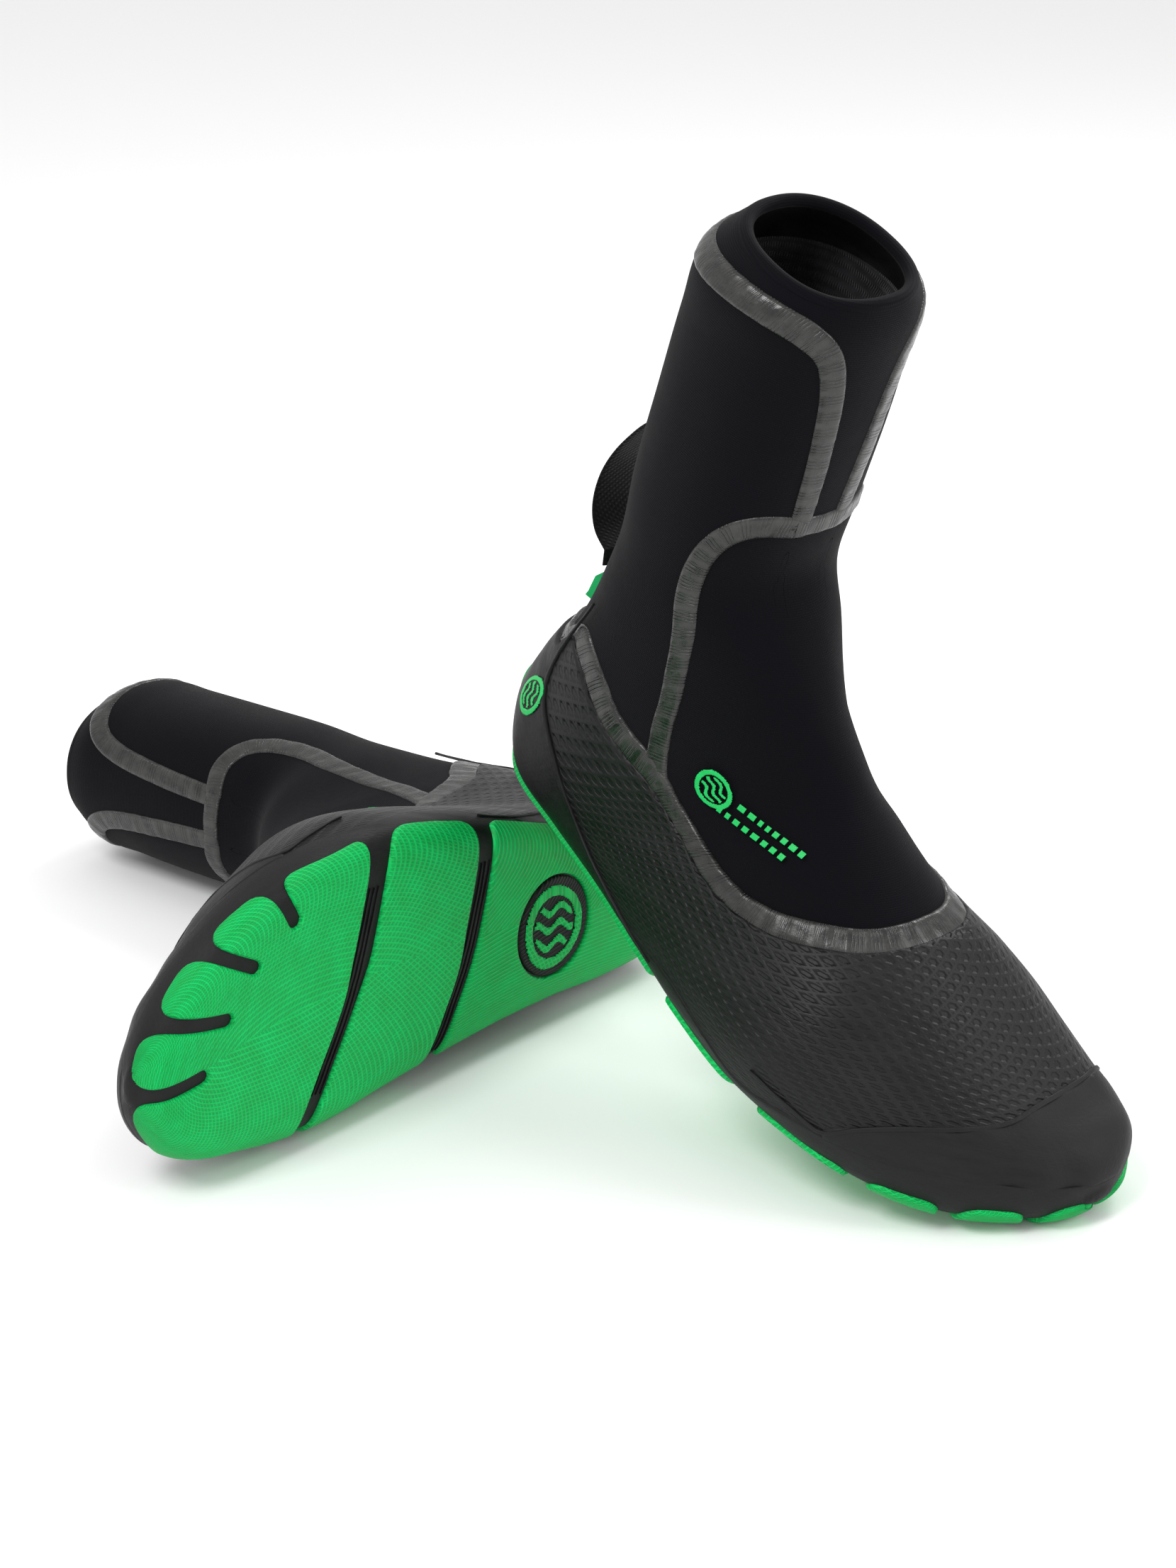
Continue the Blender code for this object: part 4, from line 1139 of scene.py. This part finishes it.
def film(name, section, turn, value, low, high, finish, slot, nodes):
    """A thin layer over the grid cells whose middle is inside the mark."""
    rows, columns = section.shape
    middle = (value[:-1, :-1] + value[1:, :-1] + value[:-1, 1:] + value[1:, 1:]) / 4
    index = np.arange(rows * columns).reshape(rows, columns)
    quads = np.stack([index[:-1, :-1], index[1:, :-1], index[1:, 1:], index[:-1, 1:]], -1)
    quads = quads[middle < 0]
    used, faces = np.unique(quads, return_inverse=True)
    faces = faces.reshape(quads.shape)
    s, t = section.ravel()[used], turn.ravel()[used]
    inside = value.ravel()[used] < -0.05
    height = np.where(inside, high, low + (high - low) * 0.4)
    top = on_form(s, t, height)
    mesh = make_mesh(name, top, faces.tolist(),
                     corner_uvs(s, t, [face for face in faces]))
    normal = np.mean([p.normal for p in mesh.polygons], axis=0)
    if normal @ outward(float(s.mean()), float(t.mean())) < 0:
        mesh.flip_normals()
    put_on_boots(name, mesh, finish, nodes=nodes)


def build_marks():
    turn, section, radius = BADGE
    s, t, u, v = flat_patch(turn, section, radius + 1, 0.4)
    disc = np.hypot(u, v) - radius
    film("badge_base", s, t, disc, *BADGE_BASE, SMOOTH_RUBBER, "black_rubber", [])
    film("heel_badge", s, t, ring_and_waves(u, v, radius), *BADGE_FACE, INK,
         "green_rubber", ["heel_badge"])
    turn, section = seat([WINDOW[:2]], [0, 1], UNDERSIDE)[0]
    s, t, u, v = flat_patch(turn, section, WINDOW[2], 0.5)
    film("window_mark", s, t, ring_and_waves(u, v, WINDOW[2] * WINDOW_MARK_SHARE),
         *WINDOW_FACE, KNURL, "green_rubber", [])
    turn, section, radius = PRINT_MARK
    s, t, u, v = flat_patch(turn, section, radius + 1, 0.28)
    film("instep_mark", s, t, ring_and_waves(u, v, radius), *PRINT_FILM, INK, "neoprene", [])


build_marks()

BAR_LINE = ((48, 9.62), (34, 11.2))     # degrees round and section at each end of a row
BAR_STEPS = 60                    # points along a row
BAR_ROWS = (0.0, 6.0)             # degrees from the first row to each row
BAR_WIDTH = 2.6
BAR_GAP = 2                       # points from one bar to the next
BAR_LAST = 52                     # no bar starts after this point


def build_bars():
    """Two rows of bars that run forwards from the round mark."""
    draw = np.random.default_rng(17)
    line = np.linspace(*BAR_LINE, BAR_STEPS)
    for row, shift in enumerate(BAR_ROWS):
        start = 0
        number = 0
        while start < BAR_LAST:
            count = int(draw.integers(4, 7))
            part = line[start:start + count] + [shift, 0]
            mesh = ribbon_mesh("bar", part, [BAR_WIDTH, BAR_WIDTH], *PRINT_FILM,
                               tape_relief(41, 0.01))
            put_on_boots("print_bar_%d_%d" % (row, number), mesh, INK, nodes=[])
            start += count + BAR_GAP
            number += 1


build_bars()

# %% [markdown]
# ## Pull loop
#
# A length of 19 mm webbing is folded under at both ends and sewn to the back of the ankle
# with a box of stitches, so that it stands out as a bow wide enough to pull on.

# %% Pull loop
WEB_WIDTH, WEB_THICK = 19, 1.6
LOOP_BOW = [(24.4, 167.2), (20, 161), (13.5, 149), (9.6, 138), (8.4, 128), (9.6, 119.5),
            (13.5, 113), (20.2, 109.3)]
ROOTS = {"loop_root_upper": ((24.3, 167.6), (27.0, 174.6)),
         "loop_root_lower": ((20.1, 109.6), (21.2, 103.2))}
STITCH_BOX = (6.8, 2.4)           # half width and half height of the sewn box
STITCH_PITCH = 2.4
STITCH_THREAD = (0.95, 0.32, 0.32)      # half length, half width, half height
OUTWARDS = np.array((-0.97, 0, 0.2))    # out of the back of the ankle


def strap(line, width, thick, steps=11):
    """A flat strap along an (x, z) line: its places, faces and pattern coordinates."""
    line = np.asarray(line, float)
    heading = np.gradient(line, axis=0)
    heading /= np.linalg.norm(heading, axis=1, keepdims=True)
    side = np.stack([heading[:, 1], -heading[:, 0]], -1)
    angle = np.linspace(0, math.tau, 4 * steps, endpoint=False)
    across = np.sign(np.cos(angle)) * np.abs(np.cos(angle)) ** 0.35 * width / 2
    rise = np.sign(np.sin(angle)) * np.abs(np.sin(angle)) ** 0.8 * thick / 2
    length = np.concatenate([[0], np.cumsum(np.linalg.norm(np.diff(line, axis=0), axis=1))])
    places = []
    for point, turned in zip(line, side):
        for a, r in zip(across, rise):
            places.append((point[0] + turned[0] * r, a, point[1] + turned[1] * r))
    count = len(angle)
    faces = [[int(i) for i in face] for face in grid_faces(len(line), count)]
    faces.append(list(range(count))[::-1])
    faces.append([len(places) - count + i for i in range(count)])
    place = np.array(places)
    along = np.repeat(length, count)
    uvs = np.concatenate([np.stack([along[face], place[face, 1]], -1) for face in faces])
    return place, faces, uvs * MM


def strap_mesh(name, line):
    mesh = make_mesh(name, *strap(line, WEB_WIDTH, WEB_THICK))
    work = bmesh.new()
    work.from_mesh(mesh)
    bmesh.ops.recalc_face_normals(work, faces=work.faces)
    work.to_mesh(mesh)
    work.free()
    return mesh


def stitch_mesh(root):
    """Short thread ends in a box with a cross, on the outside of a root."""
    (x0, z0), (x1, z1) = root
    half_wide, half_high = STITCH_BOX
    down = np.array([x1 - x0, 0, z1 - z0]) / math.hypot(x1 - x0, z1 - z0)
    middle = np.array([(x0 + x1) / 2, 0, (z0 + z1) / 2]) + OUTWARDS * WEB_THICK / 2
    wide = np.array([0, 1, 0])
    corner = [(-half_wide, -half_high), (half_wide, -half_high), (half_wide, half_high),
              (-half_wide, half_high)]
    runs = [(0, 1), (1, 2), (2, 3), (3, 0), (0, 2), (1, 3)]
    work = bmesh.new()
    for a, b in runs:
        start, end = np.array(corner[a]), np.array(corner[b])
        count = max(2, round(np.linalg.norm(end - start) / STITCH_PITCH))
        for k in range(count):
            at = start + (end - start) * (k + 0.5) / count
            place = middle + wide * at[0] + down * at[1]
            heading = wide * (end - start)[0] + down * (end - start)[1]
            turn = Vector(heading).to_track_quat("X", "Z").to_matrix().to_4x4()
            size = Matrix.Diagonal((*STITCH_THREAD, 1))
            matrix = Matrix.Translation(Vector(place)) @ turn @ size
            bmesh.ops.create_icosphere(work, subdivisions=1, radius=1, matrix=matrix)
    for face in work.faces:
        face.smooth = True
    bmesh.ops.scale(work, vec=(MM, MM, MM), verts=work.verts)
    mesh = bpy.data.meshes.new("stitches")
    work.to_mesh(mesh)
    work.free()
    mesh.uv_layers.new(name="pattern")
    return mesh


def build_loop():
    bow = smooth_line(LOOP_BOW, 8)
    put_on_boots("pull_loop", strap_mesh("pull_loop", bow), WEBBING, body="loop")
    for name, root in ROOTS.items():
        line = np.linspace(root[0], root[1], 6)
        put_on_boots(name, strap_mesh(name, line), WEBBING)
        put_on_boots("stitches_" + name, stitch_mesh(root), THREAD, nodes=[])


THREAD = moulded("thread", ((0.10, 0.10, 0.10), (0.2, 0.2, 0.2)), (0.5, 0.5, 0.5),
                 (0, 0, 0), 0.05, (0.5, 0.6), 3, 0.3)
build_loop()


def dress_cad():
    """The foot socks keep their CAD shape and get the jersey finish."""
    for side in ("left", "right"):
        sock = bpy.data.objects.get(side + "_foot_sock")
        sock.data.materials.clear()
        sock.data.materials.append(JERSEY)


dress_cad()

# %% [markdown]
# ## Camera, light and floor

# %% The set
CAMERA_TARGET = (16.2, 155.3, 29.3)
CAMERA_RISE = 21.31
CAMERA_DISTANCE = 1427.3
LENS = 77.43
FLOOR_REACH = 12                  # metres
SKY_STRENGTH = 0.86


def paper_white():
    """Plain matte white for the floor."""
    made = bpy.data.materials.new("floor_white")
    made.use_nodes = True
    shader = made.node_tree.nodes["Principled BSDF"]
    shader.inputs["Base Color"].default_value = (0.95, 0.95, 0.95, 1)
    shader.inputs["Roughness"].default_value = 0.9
    shader.inputs["Specular IOR Level"].default_value = 0.1
    return made


def build_set():
    rise = math.radians(CAMERA_RISE)
    back = Vector((0, -math.cos(rise), math.sin(rise)))
    data = bpy.data.cameras.new("camera")
    data.lens = LENS
    data.sensor_width = 36
    camera = bpy.data.objects.new("camera", data)
    bpy.context.scene.collection.objects.link(camera)
    camera.location = (Vector(CAMERA_TARGET) + back * CAMERA_DISTANCE) * MM
    camera.rotation_mode = "QUATERNION"
    camera.rotation_quaternion = (-back).to_track_quat("-Z", "Y")
    bpy.context.scene.camera = camera
    floor_mesh = bpy.data.meshes.new("floor")
    corners = [(-1, -1), (1, -1), (1, 1), (-1, 1)]
    floor_mesh.from_pydata([(x * FLOOR_REACH, y * FLOOR_REACH, 0) for x, y in corners],
                           [], [(0, 1, 2, 3)])
    floor = bpy.data.objects.new("floor", floor_mesh)
    bpy.context.scene.collection.objects.link(floor)
    floor.data.materials.append(paper_white())
    world = bpy.data.worlds.new("studio")
    bpy.context.scene.world = world
    bpy.context.scene.view_settings.view_transform = "Standard"
    world.use_nodes = True
    world.node_tree.nodes["Background"].inputs["Color"].default_value = (1, 1, 1, 1)
    world.node_tree.nodes["Background"].inputs["Strength"].default_value = SKY_STRENGTH


def softbox(name, place, target, size, power):
    data = bpy.data.lights.new(name, "AREA")
    data.shape = "RECTANGLE"
    data.size, data.size_y = size
    data.energy = power
    lamp = bpy.data.objects.new(name, data)
    bpy.context.scene.collection.objects.link(lamp)
    lamp.location = place
    lamp.rotation_mode = "QUATERNION"
    lamp.rotation_quaternion = (Vector(target) - Vector(place)).to_track_quat("-Z", "Y")


build_set()
softbox("key", (-0.7, -0.9, 1.5), (0, 0, 0.1), (0.7, 0.7), 15)
softbox("rim", (0.9, 0.9, 1.3), (0, 0, 0.15), (0.6, 0.6), 10)
softbox("side", (1.3, -0.5, 0.8), (0, 0, 0.1), (0.4, 0.9), 5)
